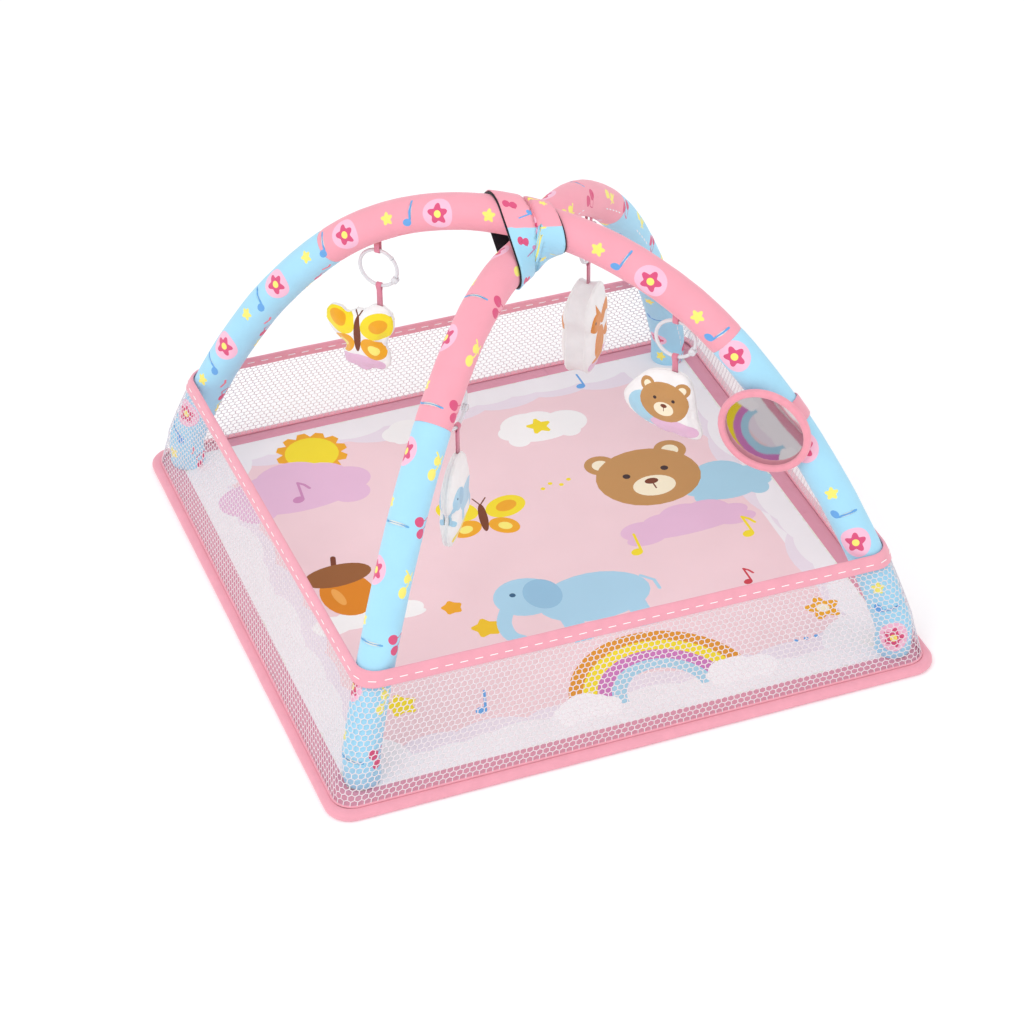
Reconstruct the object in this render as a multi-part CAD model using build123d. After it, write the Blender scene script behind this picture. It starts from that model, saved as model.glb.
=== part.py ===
from build123d import *
import math
import os
from typing import NamedTuple

# Baby activity play gym, mm, +Z up: a padded mat, two crossing padded arches, a fence, a hub wrap,
# four hanging toys and a mirror.
# Origin: centre of the mat on the ground. +X runs along the front edge, +Y runs to the back.
# Arch A spans the back-left and front-right corners, arch B the front-left and back-right ones.
# Along an arch, r is the horizontal distance from the hub: positive to the front right on A,
# to the back right on B. Lengths along the centre line have the same sign.

# ---- mat
MAT_HALF = 425.0          # half of the outside width
MAT_CORNER_R = 35.0
BINDING_W = 11.0          # width of the rolled rim
BINDING_H = 12.0
BINDING_ROUND = 4.5
SHEET_T = 1.0             # fabric underneath
TOP_SHEET_T = 1.2
MAT_TOP = 17.0            # height of the flat play panel
PANEL_HALF = 387.0        # half width of the flat play panel
PANEL_CORNER_R = 20.0
BAND_EDGE_Z = 11.6        # top surface where the sloping band meets the rim
INNER_HALF = MAT_HALF - BINDING_W
INNER_CORNER_R = MAT_CORNER_R - BINDING_W

# ---- corner pegs
PEG_R = 7.95
PEG_TOP = 41.0
PEG_TIP_H = 2.0           # height and inset of the 45 degree chamfer
PEG_HOLE_GAP = 0.3
PEG_HOLE_H = 20.0         # runs out through the top of the mat
FLANGE_R, FLANGE_Z, FLANGE_T = 22.0, 8.0, 3.0
FLANGE_GAP = 0.2

# ---- arches
TUBE_R = 24.5             # outside radius of the padded sleeve
SLEEVE_T = 1.1
FOAM_GAP = 0.15
POLE_R = 10.0
POLE_BORE_R = 8.0
FERRULE_R = 7.9
FERRULE_LEN = 80.0
HUB_Z_A, HUB_Z_B = 555.2, 504.8   # centre line's height at the hub
# each half of an arch is a chain of bends from the hub down: (degrees turned downwards, radius)
BENDS_A = [(43.084, 415.2), (12.535, 813.0), (12.488, 1234.3), (21.893, 80.0)]
BENDS_B = [(-10.0, 150.0), (41.882, 249.0), (19.612, 603.2), (16.016, 1100.3), (22.490, 80.0)]
UPRIGHT_OVERRUN = 5.0     # the centre line's upright end runs this far below the ground
COLOUR_SEAM_R = 283.0     # where the middle sleeve meets the end sleeves
POLE_JOINT_R = 160.0
JOINT_HALF_GAP = 0.1
LEG_GAP = 0.2             # sleeve's end above the mat

# ---- fence
FENCE_TOP = 176.0
FENCE_BAND_H = 19.6
MESH_T = 1.0
FENCE_BASE_Z = 13.9
FENCE_BASE_OFFSET = 384.8         # X and Y of the corner centres at the base
FENCE_R = TUBE_R + 2.7            # corner radius to the middle of the mesh
LEG_MEET_Z_A, LEG_MEET_Z_B = 60.0, 131.0  # the corners follow the legs above these heights
MESH_LEVELS = [FENCE_BASE_Z, LEG_MEET_Z_A, 95.0, LEG_MEET_Z_B, FENCE_TOP - FENCE_BAND_H]
WALL_END_ANGLE = math.radians(0.8)        # each wall stops this short of the corner's middle
BAND_GAP = 0.1                    # between the mesh and the top band
BAND_OUT, BAND_IN = 2.9, 1.6      # top band's faces, out and in from the middle of the mesh
HEM_OUT, HEM_IN = 1.4, 2.4
HEM_DEPTH = 6.0                   # hem's lower edge below the fence's base, before trimming
HEM_H = 5.9
HEM_MAT_GAP = 0.02

# ---- hub wrap
WRAP_X = [-30.0, -15.0, 0.0, 15.0, 30.0]
LINING_X = [-31.5] + WRAP_X + [31.5]
LINING_OUT, LINING_IN = 3.0, 1.8  # offsets from the sleeves
WRAP_OUT, WRAP_IN = 4.6, 3.15

# ---- toy hangers and rings; ring angles are in degrees on the ring's circle
TOY_R = 213.0             # distance of each toy from the hub
LOOP_DROP = 13.4          # sleeve's underside to the ring's top wire
LOOP_EXTRA = 12.0         # loop's length into the sleeve, before trimming
RING_R, WIRE_R = 27.5, 2.5
WEB_T, WEB_W = 1.2, 8.0
WEB_IN_R = WIRE_R + 0.4   # webbing's inner radius around the wire
WEB_OUT_R = WEB_IN_R + WEB_T
RIBBON_GAP = 24.0         # degrees, half of the gap under the ribbon's eye
RIBBON_TAIL_HALF = 1.75   # half thickness of the two sewn ends
HINGE_ANGLE = -30.0
GATE_TIP_ANGLE = 40.0
GATE_REACH = 2 * RING_R * math.sin(math.radians((GATE_TIP_ANGLE - HINGE_ANGLE + 0.5) / 2))
GATE_TIP_GAP = 0.2        # each side of the joint at the gate's tip

# ---- mirror
MIRROR_LEG_R = 368.0
MIRROR_R, MIRROR_FRAME_W, MIRROR_DEPTH = 63.0, 10.0, 12.0
MIRROR_ROUND = 3.5
MIRROR_INNER_R = MIRROR_R - MIRROR_FRAME_W - 0.1
BACKING_T, GLASS_T, GLASS_GAP = 6.0, 2.0, 0.05
STRAP_IN_R = TUBE_R + 0.6
STRAP_OUT_R = STRAP_IN_R + 1.8
STRAP_W = 30.0
PATCH_ANGLES = math.radians(110), math.radians(170)
MIRROR_ACROSS = Vector(0.65699, -0.60557, -0.44905)
MIRROR_UP = Vector(0.31265, -0.32314, 0.89321)
MIRROR_FACING = Vector(-0.68601, -0.72723, -0.02297)
MIRROR_SHIFT_ACROSS, MIRROR_SHIFT_UP = -12.6, -14.7   # disc's centre from the leg's centre line
MIRROR_STRAP_GAP = 0.5

os.makedirs("parts", exist_ok=True)


# ------------------------------------------------------------------ helpers
def save(name, shape):
    shape.label = name
    export_step(shape, f"parts/{name}.step")


def fillet_if_possible(shape, edges, radius):
    """Round the edges, or keep the shape sharp if the kernel can't build the fillet."""
    try:
        return fillet(edges, radius)
    except Exception:
        return shape


def upright_cylinder(x, y, z, radius, height):
    """Cylinder standing on height z."""
    return Pos(x, y, z) * Cylinder(
        radius, height, align=(Align.CENTER, Align.CENTER, Align.MIN)
    )


def arc_points(centre, radius, start, end, steps):
    """Points on an arc between two angles in radians."""
    angles = [start + (end - start) * i / steps for i in range(steps + 1)]
    return [
        (centre[0] + radius * math.cos(a), centre[1] + radius * math.sin(a)) for a in angles
    ]


def polygon(points):
    return make_face(Polyline(*points, close=True))


def local_point(frame, x, y, z=0.0):
    return frame.origin + frame.x_dir * x + frame.y_dir * y + frame.z_dir * z


def thick_ring(plane, r_out, r_in, height):
    """Ring raised from the plane."""
    return extrude(plane * Circle(r_out), amount=height) - extrude(
        plane * Circle(r_in), amount=height
    )


# ------------------------------------------------------------------ arch centre lines
class Run(NamedTuple):
    """One bend or straight of half a centre line; a straight has radius 0."""

    start: float    # length from the hub
    end: float
    r: float        # place and heading at its start; the heading is the angle below level
    z: float
    heading: float
    turn: float     # radians turned downwards
    radius: float

    @property
    def sense(self):
        return 1.0 if self.turn > 0 else -1.0

    def centre(self):
        """(r, z) of the bend's centre."""
        reach = self.radius * self.sense
        return self.r - math.sin(self.heading) * reach, self.z - math.cos(self.heading) * reach

    def state(self, distance):
        """r, z and heading at a distance from the run's start."""
        if not self.radius:
            return self.r, self.z - distance, self.heading
        centre_r, centre_z = self.centre()
        heading = self.heading + self.sense * distance / self.radius
        reach = self.radius * self.sense
        return centre_r + math.sin(heading) * reach, centre_z + math.cos(heading) * reach, heading


class Arch:
    """Centre line of bends and an upright end, mirrored about the hub, in an upright plane."""

    def __init__(self, name, hub_z, bends, direction):
        self.name, self.direction = name, direction
        self.runs = []
        r, z, heading, start = 0.0, hub_z, 0.0, 0.0
        for degrees, radius in bends:
            turn = math.radians(degrees)
            length = abs(turn) * radius
            run = Run(start, start + length, r, z, heading, turn, radius)
            self.runs.append(run)
            r, z, heading = run.state(length)
            start = run.end
        self.foot_r = r
        upright_end = start + z + UPRIGHT_OVERRUN
        self.runs.append(Run(start, upright_end, r, z, math.pi / 2, 0.0, 0.0))

    def at(self, length):
        """(r, z) and the unit tangent at a signed length from the hub."""
        distance = abs(length)
        for run in self.runs:
            if distance <= run.end:
                break
        r, z, heading = run.state(distance - run.start)
        tangent_r, tangent_z = math.cos(heading), -math.sin(heading)
        if length < 0:
            return (-r, z), (tangent_r, -tangent_z)
        return (r, z), (tangent_r, tangent_z)

    def search(self, is_past):
        """Length at which is_past turns true, by bisection."""
        low, high = 0.0, self.runs[-1].end
        for _ in range(60):
            middle = (low + high) / 2
            if is_past(middle):
                high = middle
            else:
                low = middle
        return (low + high) / 2

    def length_at_r(self, r):
        length = self.search(lambda s: self.at(s)[0][0] > abs(r))
        return length if r >= 0 else -length

    def length_at_z(self, z):
        return self.search(lambda s: self.at(s)[0][1] < z)

    def point(self, length):
        """Position and unit tangent in space."""
        (r, z), (tangent_r, tangent_z) = self.at(length)
        dir_x, dir_y = self.direction
        return (
            Vector(r * dir_x, r * dir_y, z),
            Vector(tangent_r * dir_x, tangent_r * dir_y, tangent_z),
        )

    def pieces(self, start, end, r_out, r_in, side):
        """Bends and straights between two lengths on one side of the hub."""
        outward = Vector(self.direction[0] * side, self.direction[1] * side, 0)
        across = Vector(-outward.Y, outward.X, 0)
        solids = []
        for run in self.runs:
            low, high = max(start, run.start), min(end, run.end)
            if high - low < 1e-6:
                continue
            (r, z), (tangent_r, tangent_z) = self.at(low)
            origin = outward * r + Vector(0, 0, z)
            tangent = outward * tangent_r + Vector(0, 0, tangent_z)
            section = Circle(r_out) if r_in is None else Circle(r_out) - Circle(r_in)
            section = Plane(origin=origin, x_dir=across, z_dir=tangent) * section
            if run.radius:
                centre_r, centre_z = run.centre()
                # a positive turn about this axis bends the run downwards
                axis = Axis(outward * centre_r + Vector(0, 0, centre_z), across * run.sense)
                solids.append(revolve(section, axis, math.degrees((high - low) / run.radius)))
            else:
                solids.append(extrude(section, amount=high - low, dir=tangent))
        return solids

    def pipe(self, start, end, r_out, r_in=None):
        """Round bar, or tube if r_in is given, between two signed lengths."""
        solids = []
        if start < 0:
            solids += self.pieces(max(0.0, -end), -start, r_out, r_in, -1)
        if end > 0:
            solids += self.pieces(max(0.0, start), end, r_out, r_in, 1)
        if len(solids) == 1:
            return solids[0]
        return solids[0].fuse(*solids[1:])


DIAGONAL = math.sqrt(0.5)
ARCH_A = Arch("arch_a", HUB_Z_A, BENDS_A, (DIAGONAL, -DIAGONAL))
ARCH_B = Arch("arch_b", HUB_Z_B, BENDS_B, (DIAGONAL, DIAGONAL))
FOOT_A, FOOT_B = ARCH_A.foot_r * DIAGONAL, ARCH_B.foot_r * DIAGONAL
FEET = [(-FOOT_A, FOOT_A), (FOOT_A, -FOOT_A), (-FOOT_B, -FOOT_B), (FOOT_B, FOOT_B)]


# ------------------------------------------------------------------ mat
def rounded_square(half, corner_r, z):
    return Pos(0, 0, z) * RectangleRounded(2 * half, 2 * half, corner_r)


def inner_square(z):
    """Square inside the rim."""
    return rounded_square(INNER_HALF, INNER_CORNER_R, z)


def tray(z_low, drop):
    """Solid from z_low up to the mat's top surface lowered by drop."""
    edge_z = BAND_EDGE_Z - drop
    body = extrude(inner_square(z_low), edge_z - z_low)
    panel = rounded_square(PANEL_HALF, PANEL_CORNER_R, MAT_TOP - drop)
    return body + loft([inner_square(edge_z), panel], ruled=True)


def build_mat_layers():
    """Base sheet, padding and top sheet, the last two open for the corner pegs."""
    save("mat_base_sheet", extrude(inner_square(0), SHEET_T))
    padding = tray(SHEET_T, TOP_SHEET_T)
    top_sheet = tray(SHEET_T, 0) - tray(0, TOP_SHEET_T)
    for x, y in FEET:
        pocket = upright_cylinder(
            x, y, FLANGE_Z - FLANGE_GAP, FLANGE_R + FLANGE_GAP, FLANGE_T + 2 * FLANGE_GAP
        )
        hole = upright_cylinder(x, y, FLANGE_Z, PEG_R + PEG_HOLE_GAP, PEG_HOLE_H)
        padding -= pocket + hole
        top_sheet -= hole
    save("mat_padding", padding)
    save("mat_top_sheet", top_sheet)


def build_edge_binding():
    """Rim with its outer top and bottom edges rounded."""
    rim = extrude(rounded_square(MAT_HALF, MAT_CORNER_R, 0), BINDING_H) - extrude(
        inner_square(-1), BINDING_H + 2
    )

    def is_outer(edge):
        box = edge.bounding_box()
        reach = max(abs(box.max.X), abs(box.min.X), abs(box.max.Y), abs(box.min.Y))
        return reach > MAT_HALF - 0.01

    def is_level(edge):
        z = edge.center().Z
        return abs(z - BINDING_H) < 0.01 or abs(z) < 0.01

    edges = [edge for edge in rim.edges() if is_level(edge) and is_outer(edge)]
    save("mat_edge_binding", fillet_if_possible(rim, edges, BINDING_ROUND))


def build_corner_pegs():
    """Flanged pegs with chamfered tips, one in each foot."""
    pegs = []
    tip_z = PEG_TOP - PEG_TIP_H
    for x, y in FEET:
        flange = upright_cylinder(x, y, FLANGE_Z, FLANGE_R, FLANGE_T)
        stem = upright_cylinder(x, y, FLANGE_Z, PEG_R, tip_z - FLANGE_Z)
        tip = Pos(x, y, tip_z) * Cone(
            PEG_R, PEG_R - PEG_TIP_H, PEG_TIP_H, align=(Align.CENTER, Align.CENTER, Align.MIN)
        )
        pegs.append(flange + stem + tip)
    save("corner_pegs", Compound(children=pegs))


# ------------------------------------------------------------------ arches
def three_spans(foot, cut):
    """Left, middle and right spans of a centre line, with small gaps at the two cuts."""
    return [
        (-foot, -cut - JOINT_HALF_GAP),
        (-cut + JOINT_HALF_GAP, cut - JOINT_HALF_GAP),
        (cut + JOINT_HALF_GAP, foot),
    ]


def build_arch(arch):
    """Poles, ferrules, foam and sleeves of one arch."""
    foot = arch.length_at_z(MAT_TOP + LEG_GAP)
    joint = arch.length_at_r(POLE_JOINT_R)
    pole_spans = three_spans(foot, joint)
    sleeve_spans = three_spans(foot, arch.length_at_r(COLOUR_SEAM_R))
    sleeve_in = TUBE_R - SLEEVE_T
    for place, pole_span, sleeve_span in zip(
        ("left", "middle", "right"), pole_spans, sleeve_spans
    ):
        save(f"{arch.name}_pole_{place}", arch.pipe(*pole_span, POLE_R, POLE_BORE_R))
        save(f"{arch.name}_sleeve_{place}", arch.pipe(*sleeve_span, TUBE_R, sleeve_in))

    ferrules = [
        arch.pipe(middle - FERRULE_LEN / 2, middle + FERRULE_LEN / 2, FERRULE_R)
        for middle in (-joint, joint)
    ]
    save(f"{arch.name}_ferrules", Compound(children=ferrules))
    foam = [arch.pipe(*span, sleeve_in - FOAM_GAP, POLE_R + FOAM_GAP) for span in pole_spans]
    save(f"{arch.name}_foam", Compound(children=foam))


# ------------------------------------------------------------------ fence
def leg_offset(arch, z):
    """X of the leg at height z, moved out because a leaning leg is wider across."""
    (r, _), (_, tangent_z) = arch.at(arch.length_at_z(z))
    return (r + TUBE_R / abs(tangent_z) - TUBE_R) * DIAGONAL


def corner_offset(arch, meet_z, z):
    """X of a fence corner's centre: straight from the base up to meet_z, then along the leg."""
    if z >= meet_z:
        return leg_offset(arch, z)
    if z <= FENCE_BASE_Z:
        return FENCE_BASE_OFFSET
    share = (z - FENCE_BASE_Z) / (meet_z - FENCE_BASE_Z)
    return FENCE_BASE_OFFSET + share * (leg_offset(arch, meet_z) - FENCE_BASE_OFFSET)


def fence_corners(z):
    """Corner centres: front left, front right, back right, back left."""
    a = corner_offset(ARCH_A, LEG_MEET_Z_A, z)
    b = corner_offset(ARCH_B, LEG_MEET_Z_B, z)
    return [(-b, -b), (a, -a), (b, b), (-a, a)]


def outward_angle(corner, following):
    """Direction square to a fence side, pointing outwards."""
    return math.atan2(corner[0] - following[0], following[1] - corner[1])


def wall_face(index, z):
    """Section of one wall: the straight run, with half of each corner's bend."""
    corners = fence_corners(z)
    first, second = corners[index], corners[(index + 1) % 4]
    normal = outward_angle(first, second)

    def diagonal_angle(corner):
        """Angle of the corner from the origin, on the same turn as the normal."""
        return normal + math.remainder(math.atan2(corner[1], corner[0]) - normal, math.tau)

    start = diagonal_angle(first) + WALL_END_ANGLE
    end = diagonal_angle(second) - WALL_END_ANGLE
    outer, inner = [
        arc_points(first, radius, start, normal, 5) + arc_points(second, radius, normal, end, 5)
        for radius in (FENCE_R + MESH_T / 2, FENCE_R - MESH_T / 2)
    ]
    return polygon([(x, y, z) for x, y in outer + inner[::-1]])


def loop_face(z, radius):
    """Whole area inside the fence, its corners rounded to the radius."""
    corners = fence_corners(z)
    points = []
    for i, corner in enumerate(corners):
        start = outward_angle(corners[i - 1], corner)
        turn = (outward_angle(corner, corners[(i + 1) % 4]) - start) % math.tau
        points += arc_points(corner, radius, start, start + turn, 10)
    return polygon([(x, y, z) for x, y in points])


def build_fence():
    """Four mesh walls, the band along their top and the hem at their base."""
    for index, side in enumerate(("front", "right", "back", "left")):
        faces = [wall_face(index, z) for z in MESH_LEVELS]
        save(f"fence_mesh_{side}", loft(faces, ruled=True))

    heights = (FENCE_TOP - FENCE_BAND_H + BAND_GAP, FENCE_TOP)
    outer = loft([loop_face(z, FENCE_R + BAND_OUT) for z in heights], ruled=True)
    inner = loft([loop_face(z, FENCE_R - BAND_IN) for z in heights], ruled=True)
    save("fence_top_band", outer - inner)

    hem_z = FENCE_BASE_Z - HEM_DEPTH
    hem = extrude(loop_face(hem_z, FENCE_R + HEM_OUT), HEM_H) - extrude(
        loop_face(hem_z - 1, FENCE_R - HEM_IN), 8
    )
    # the hem rests on the mat, so the mat's shape is taken off its underside
    save("fence_base_hem", hem - tray(-1, -HEM_MAT_GAP))


# ------------------------------------------------------------------ hub wrap
def sleeve_crossing(arch, x):
    """Points (y, z) where the sleeve's surface crosses the plane X = x near the hub."""
    points = []
    across = Vector(-arch.direction[1], arch.direction[0], 0)
    for i in range(48):
        angle = 2 * math.pi * i / 48
        low, high = -160.0, 160.0
        for _ in range(40):
            middle = (low + high) / 2
            centre, tangent = arch.point(middle)
            surface = (
                centre
                + across * (TUBE_R * math.cos(angle))
                + across.cross(tangent) * (TUBE_R * math.sin(angle))
            )
            if surface.X > x:
                high = middle
            else:
                low = middle
        points.append((surface.Y, surface.Z))
    return points


def hub_section(x, offset):
    """Outline around both sleeves at X = x, grown by the offset."""
    cloud = sleeve_crossing(ARCH_A, x) + sleeve_crossing(ARCH_B, x)
    directions = 24
    points = []
    for i in range(directions):
        angle = 2 * math.pi * (i + 0.5) / directions
        unit_y, unit_z = math.cos(angle), math.sin(angle)
        y, z = max(cloud, key=lambda p: p[0] * unit_y + p[1] * unit_z)
        points.append((x, y + offset * unit_y, z + offset * unit_z))
    return polygon(points)


def hub_shell(stations, outer, inner):
    """Tube around both sleeves between two offsets."""
    solids = [
        loft([hub_section(x, offset) for x in stations], ruled=True)
        for offset in (outer, inner)
    ]
    return solids[0] - solids[1]


def build_hub():
    save("hub_lining", hub_shell(LINING_X, LINING_OUT, LINING_IN))
    save("hub_wrap", hub_shell(WRAP_X, WRAP_OUT, WRAP_IN))


# ------------------------------------------------------------------ toy hangers and rings
def sleeve_underside(arch, r):
    (_, z), (tangent_r, _) = arch.at(arch.length_at_r(r))
    return z - TUBE_R / abs(tangent_r)


def hanging_frame(arch, r, z, yaw=0.0):
    """Frame with X along the arch, Y up and Z across the arch, turned by yaw about the upright."""
    dir_x, dir_y = arch.direction
    return Plane(
        origin=Vector(r * dir_x, r * dir_y, z),
        x_dir=Vector(dir_x, dir_y, 0).rotate(Axis.Z, yaw),
        z_dir=Vector(dir_y, -dir_x, 0).rotate(Axis.Z, yaw),
    )


def webbing(frame, outline):
    """Strip of webbing from an outline of (across, up) points, as wide as the web."""
    face = polygon([local_point(frame, -WEB_W / 2, up, across) for across, up in outline])
    return extrude(face, amount=WEB_W, dir=frame.x_dir)


def strap_loop(frame, top):
    """U of webbing under the ring's top wire, its ends running up to top."""
    outer = arc_points((0, 0), WEB_OUT_R, math.pi, 2 * math.pi, 12)
    inner = arc_points((0, 0), WEB_IN_R, math.pi, 2 * math.pi, 12)
    right_end = [(WEB_OUT_R, top), (WEB_IN_R, top)]
    outline = [(-WEB_OUT_R, top)] + outer + right_end + inner[::-1] + [(-WEB_IN_R, top)]
    return webbing(frame, outline)


def ribbon(frame, length):
    """Ribbon over the ring's bottom wire, its two ends sewn together below."""
    gap = math.radians(RIBBON_GAP)
    start, end = -math.pi / 2 + gap, 3 * math.pi / 2 - gap
    outer = arc_points((0, 0), WEB_OUT_R, start, end, 18)
    inner = arc_points((0, 0), WEB_IN_R, start, end, 18)
    eye = webbing(frame, outer + inner[::-1])
    half, top = RIBBON_TAIL_HALF, -WEB_IN_R * math.cos(gap) - 1.0
    tail = webbing(frame, [(-half, top), (-half, -length), (half, -length), (half, top)])
    return eye + tail


def ring_point(frame, degrees, z=0.0):
    angle = math.radians(degrees)
    return local_point(frame, RING_R * math.cos(angle), RING_R * math.sin(angle), z)


def ring_arc(frame, start, end, wire_r=WIRE_R):
    """Arc of round wire between two angles on the ring."""
    path = ThreePointArc(*[ring_point(frame, a) for a in (start, (start + end) / 2, end)])
    angle = math.radians(start)
    tangent = frame.x_dir * (-math.sin(angle)) + frame.y_dir * math.cos(angle)
    section = Plane(origin=ring_point(frame, start), x_dir=frame.z_dir, z_dir=tangent)
    return sweep(section * Circle(wire_r), path=path)


def hinge_disc(frame, z_low, z_high, radius):
    """Disc about the gate's hinge."""
    origin = ring_point(frame, HINGE_ANGLE, z_low)
    base = Plane(origin=origin, x_dir=frame.x_dir, z_dir=frame.z_dir)
    return extrude(base * Circle(radius), amount=z_high - z_low)


def ring_body(frame):
    """Open ring with two ears that hold the gate's pin."""
    hinge = HINGE_ANGLE + 360
    ears = hinge_disc(frame, 1.6, 3.6, 5.0) + hinge_disc(frame, -3.6, -1.6, 5.0)
    # gate tip and ring end meet on a cylinder about the pin, so the tip can swing past the end
    tip_clearance = hinge_disc(frame, -5, 5, GATE_REACH + GATE_TIP_GAP)
    upper = ring_arc(frame, GATE_TIP_ANGLE - 5.0, 185.0) - tip_clearance
    body = upper + ring_arc(frame, 184.0, hinge - 6.0)
    # the wire's thickened end reaches into both ears, with a slot between them for the knuckle
    link = ring_arc(frame, hinge - 8.0, hinge - 2.0, 3.4)
    body = body + link + ears - hinge_disc(frame, -1.6, 1.6, 5.4)
    return body - hinge_disc(frame, -4, 4, 1.6)


def ring_gate(frame):
    """Curved gate with its neck, knuckle and pin."""
    gate = ring_arc(frame, HINGE_ANGLE + 11.5, GATE_TIP_ANGLE + 5.5) & hinge_disc(
        frame, -5, 5, GATE_REACH - GATE_TIP_GAP
    )
    neck = ring_arc(frame, HINGE_ANGLE + 5.0, HINGE_ANGLE + 13.5, 1.15)
    knuckle = hinge_disc(frame, -1.4, 1.4, 4.6)
    pin = hinge_disc(frame, -3.5, 3.5, 1.55)
    return gate + neck + knuckle + pin


# ------------------------------------------------------------------ toys
class Toy(NamedTuple):
    name: str
    arch: Arch
    side: int           # sign of r
    yaw: float          # degrees
    half_width: float
    half_height: float
    thickness: float
    shift: float        # sideways, along the toy's own X
    drop: float         # ring's bottom wire to just above the body
    lobes: list         # (lobes per turn, relative height, phase in degrees)


TOYS = [
    Toy("mouse", ARCH_A, -1, 0.0, 50.0, 55.0, 20.0, -30.0, 32.0, [(5, 0.035, 20), (3, 0.03, 90)]),
    Toy("bear", ARCH_A, 1, 0.0, 54.0, 50.0, 22.0, -14.0, 25.0, [(3, 0.05, 90)]),
    Toy("squirrel", ARCH_B, 1, 6.0, 48.0, 64.0, 42.0, -18.0, 34.0, [(4, 0.02, 0)]),
    Toy("elephant", ARCH_B, -1, 10.0, 50.0, 60.0, 19.0, -20.0, 38.0, [(3, 0.03, 90)]),
]
PILLOW_LEVELS = [(-0.5, 0.82), (0.0, 1.0), (0.5, 0.82)]  # (share of thickness, outline's scale)
OUTLINE_POWER = 2.4       # superellipse under the lobes


def toy_radius(toy, angle):
    """Radius of the toy's rounded outline with its soft lobes."""
    width_term = (abs(math.cos(angle)) / toy.half_width) ** OUTLINE_POWER
    height_term = (abs(math.sin(angle)) / toy.half_height) ** OUTLINE_POWER
    base = 1.0 / (width_term + height_term) ** (1 / OUTLINE_POWER)
    lobes = sum(
        height * math.cos(count * angle - math.radians(phase))
        for count, height, phase in toy.lobes
    )
    return base * (1 + lobes)


def pillow(frame, toy, grow=0.0):
    """Stuffed shape, fullest halfway through its thickness."""
    centre_y = -(toy.drop + toy.half_height) + 1.0
    faces = []
    for level, scale in PILLOW_LEVELS:
        points = []
        for i in range(24):
            angle = 2 * math.pi * i / 24
            radius = (toy_radius(toy, angle) + grow) * scale
            x = toy.shift + radius * math.cos(angle)
            y = centre_y + radius * math.sin(angle)
            points.append(local_point(frame, x, y, level * (toy.thickness + 2 * grow)))
        faces.append(polygon(points))
    return loft(faces, ruled=True)


def toy_loop(arch, r, z):
    """Loop of webbing from the ring's top wire at height z up to the sleeve."""
    loop = strap_loop(hanging_frame(arch, r, z), LOOP_DROP + LOOP_EXTRA)
    length = arch.length_at_r(r)
    trimmed = loop - arch.pipe(length - 30, length + 30, TUBE_R + 0.02)
    return min(trimmed.solids(), key=lambda solid: solid.bounding_box().min.Z)


def build_toys():
    loops = []
    for toy in TOYS:
        r = toy.side * TOY_R
        ring_top = sleeve_underside(toy.arch, r) - LOOP_DROP
        ring_z = ring_top - RING_R
        ring_bottom = ring_z - RING_R
        loops.append(toy_loop(toy.arch, r, ring_top))

        ring_frame = hanging_frame(toy.arch, r, ring_z)
        save(f"ring_{toy.name}", ring_body(ring_frame))
        save(f"gate_{toy.name}", ring_gate(ring_frame))

        toy_frame = hanging_frame(toy.arch, r, ring_bottom, toy.yaw)
        outer = pillow(toy_frame, toy)
        save(f"toy_{toy.name}_cover", outer - pillow(toy_frame, toy, grow=-1.2))
        save(f"toy_{toy.name}_stuffing", pillow(toy_frame, toy, grow=-1.5))

        # only the part of the ribbon above the cover is kept
        tape = ribbon(hanging_frame(toy.arch, r, ring_bottom), toy.drop + 14.0) - outer
        above = max(tape.solids(), key=lambda solid: solid.bounding_box().max.Z)
        save(f"toy_{toy.name}_ribbon", above)
    save("toy_loops", Compound(children=loops))


# ------------------------------------------------------------------ mirror
def build_mirror_strap(leg_point, leg_dir):
    """Strap around the leg and the curved fastener patch on it."""
    facing = (MIRROR_FACING - leg_dir * MIRROR_FACING.dot(leg_dir)).normalized()
    plane = Plane(origin=leg_point - leg_dir * (STRAP_W / 2), x_dir=facing, z_dir=leg_dir)
    save("mirror_strap", thick_ring(plane, STRAP_OUT_R, STRAP_IN_R, STRAP_W))

    inner = arc_points((0, 0), STRAP_OUT_R + 0.05, *PATCH_ANGLES, 8)
    outer = arc_points((0, 0), STRAP_OUT_R + 1.3, *PATCH_ANGLES, 8)
    sector = polygon([local_point(plane, x, y) for x, y in inner + outer[::-1]])
    # the sector's flat inner chords dip towards the strap, so they are cut back to a round
    patch = extrude(sector, amount=STRAP_W, dir=leg_dir) - extrude(
        plane * Circle(STRAP_OUT_R + 0.02), amount=STRAP_W
    )
    save("mirror_strap_fastener", patch)


def build_mirror_disc(leg_point):
    """Rounded frame with the backing and the glass inside it."""
    centre = (
        leg_point
        + MIRROR_ACROSS * MIRROR_SHIFT_ACROSS
        + MIRROR_UP * MIRROR_SHIFT_UP
        + MIRROR_FACING * (STRAP_OUT_R + MIRROR_STRAP_GAP)
    )

    def disc_plane(forward):
        origin = centre + MIRROR_FACING * forward
        return Plane(origin=origin, x_dir=MIRROR_ACROSS, z_dir=MIRROR_FACING)

    back = disc_plane(0.0)
    frame = thick_ring(back, MIRROR_R, MIRROR_R - MIRROR_FRAME_W, MIRROR_DEPTH)
    save("mirror_frame", fillet_if_possible(frame, frame.edges(), MIRROR_ROUND))
    save("mirror_backing", extrude(back * Circle(MIRROR_INNER_R), amount=BACKING_T))
    front = disc_plane(BACKING_T + GLASS_GAP)
    save("mirror_glass", extrude(front * Circle(MIRROR_INNER_R), amount=GLASS_T))


def build_mirror():
    leg_point, leg_dir = ARCH_A.point(ARCH_A.length_at_r(MIRROR_LEG_R))
    build_mirror_strap(leg_point, leg_dir)
    build_mirror_disc(leg_point)


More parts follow.
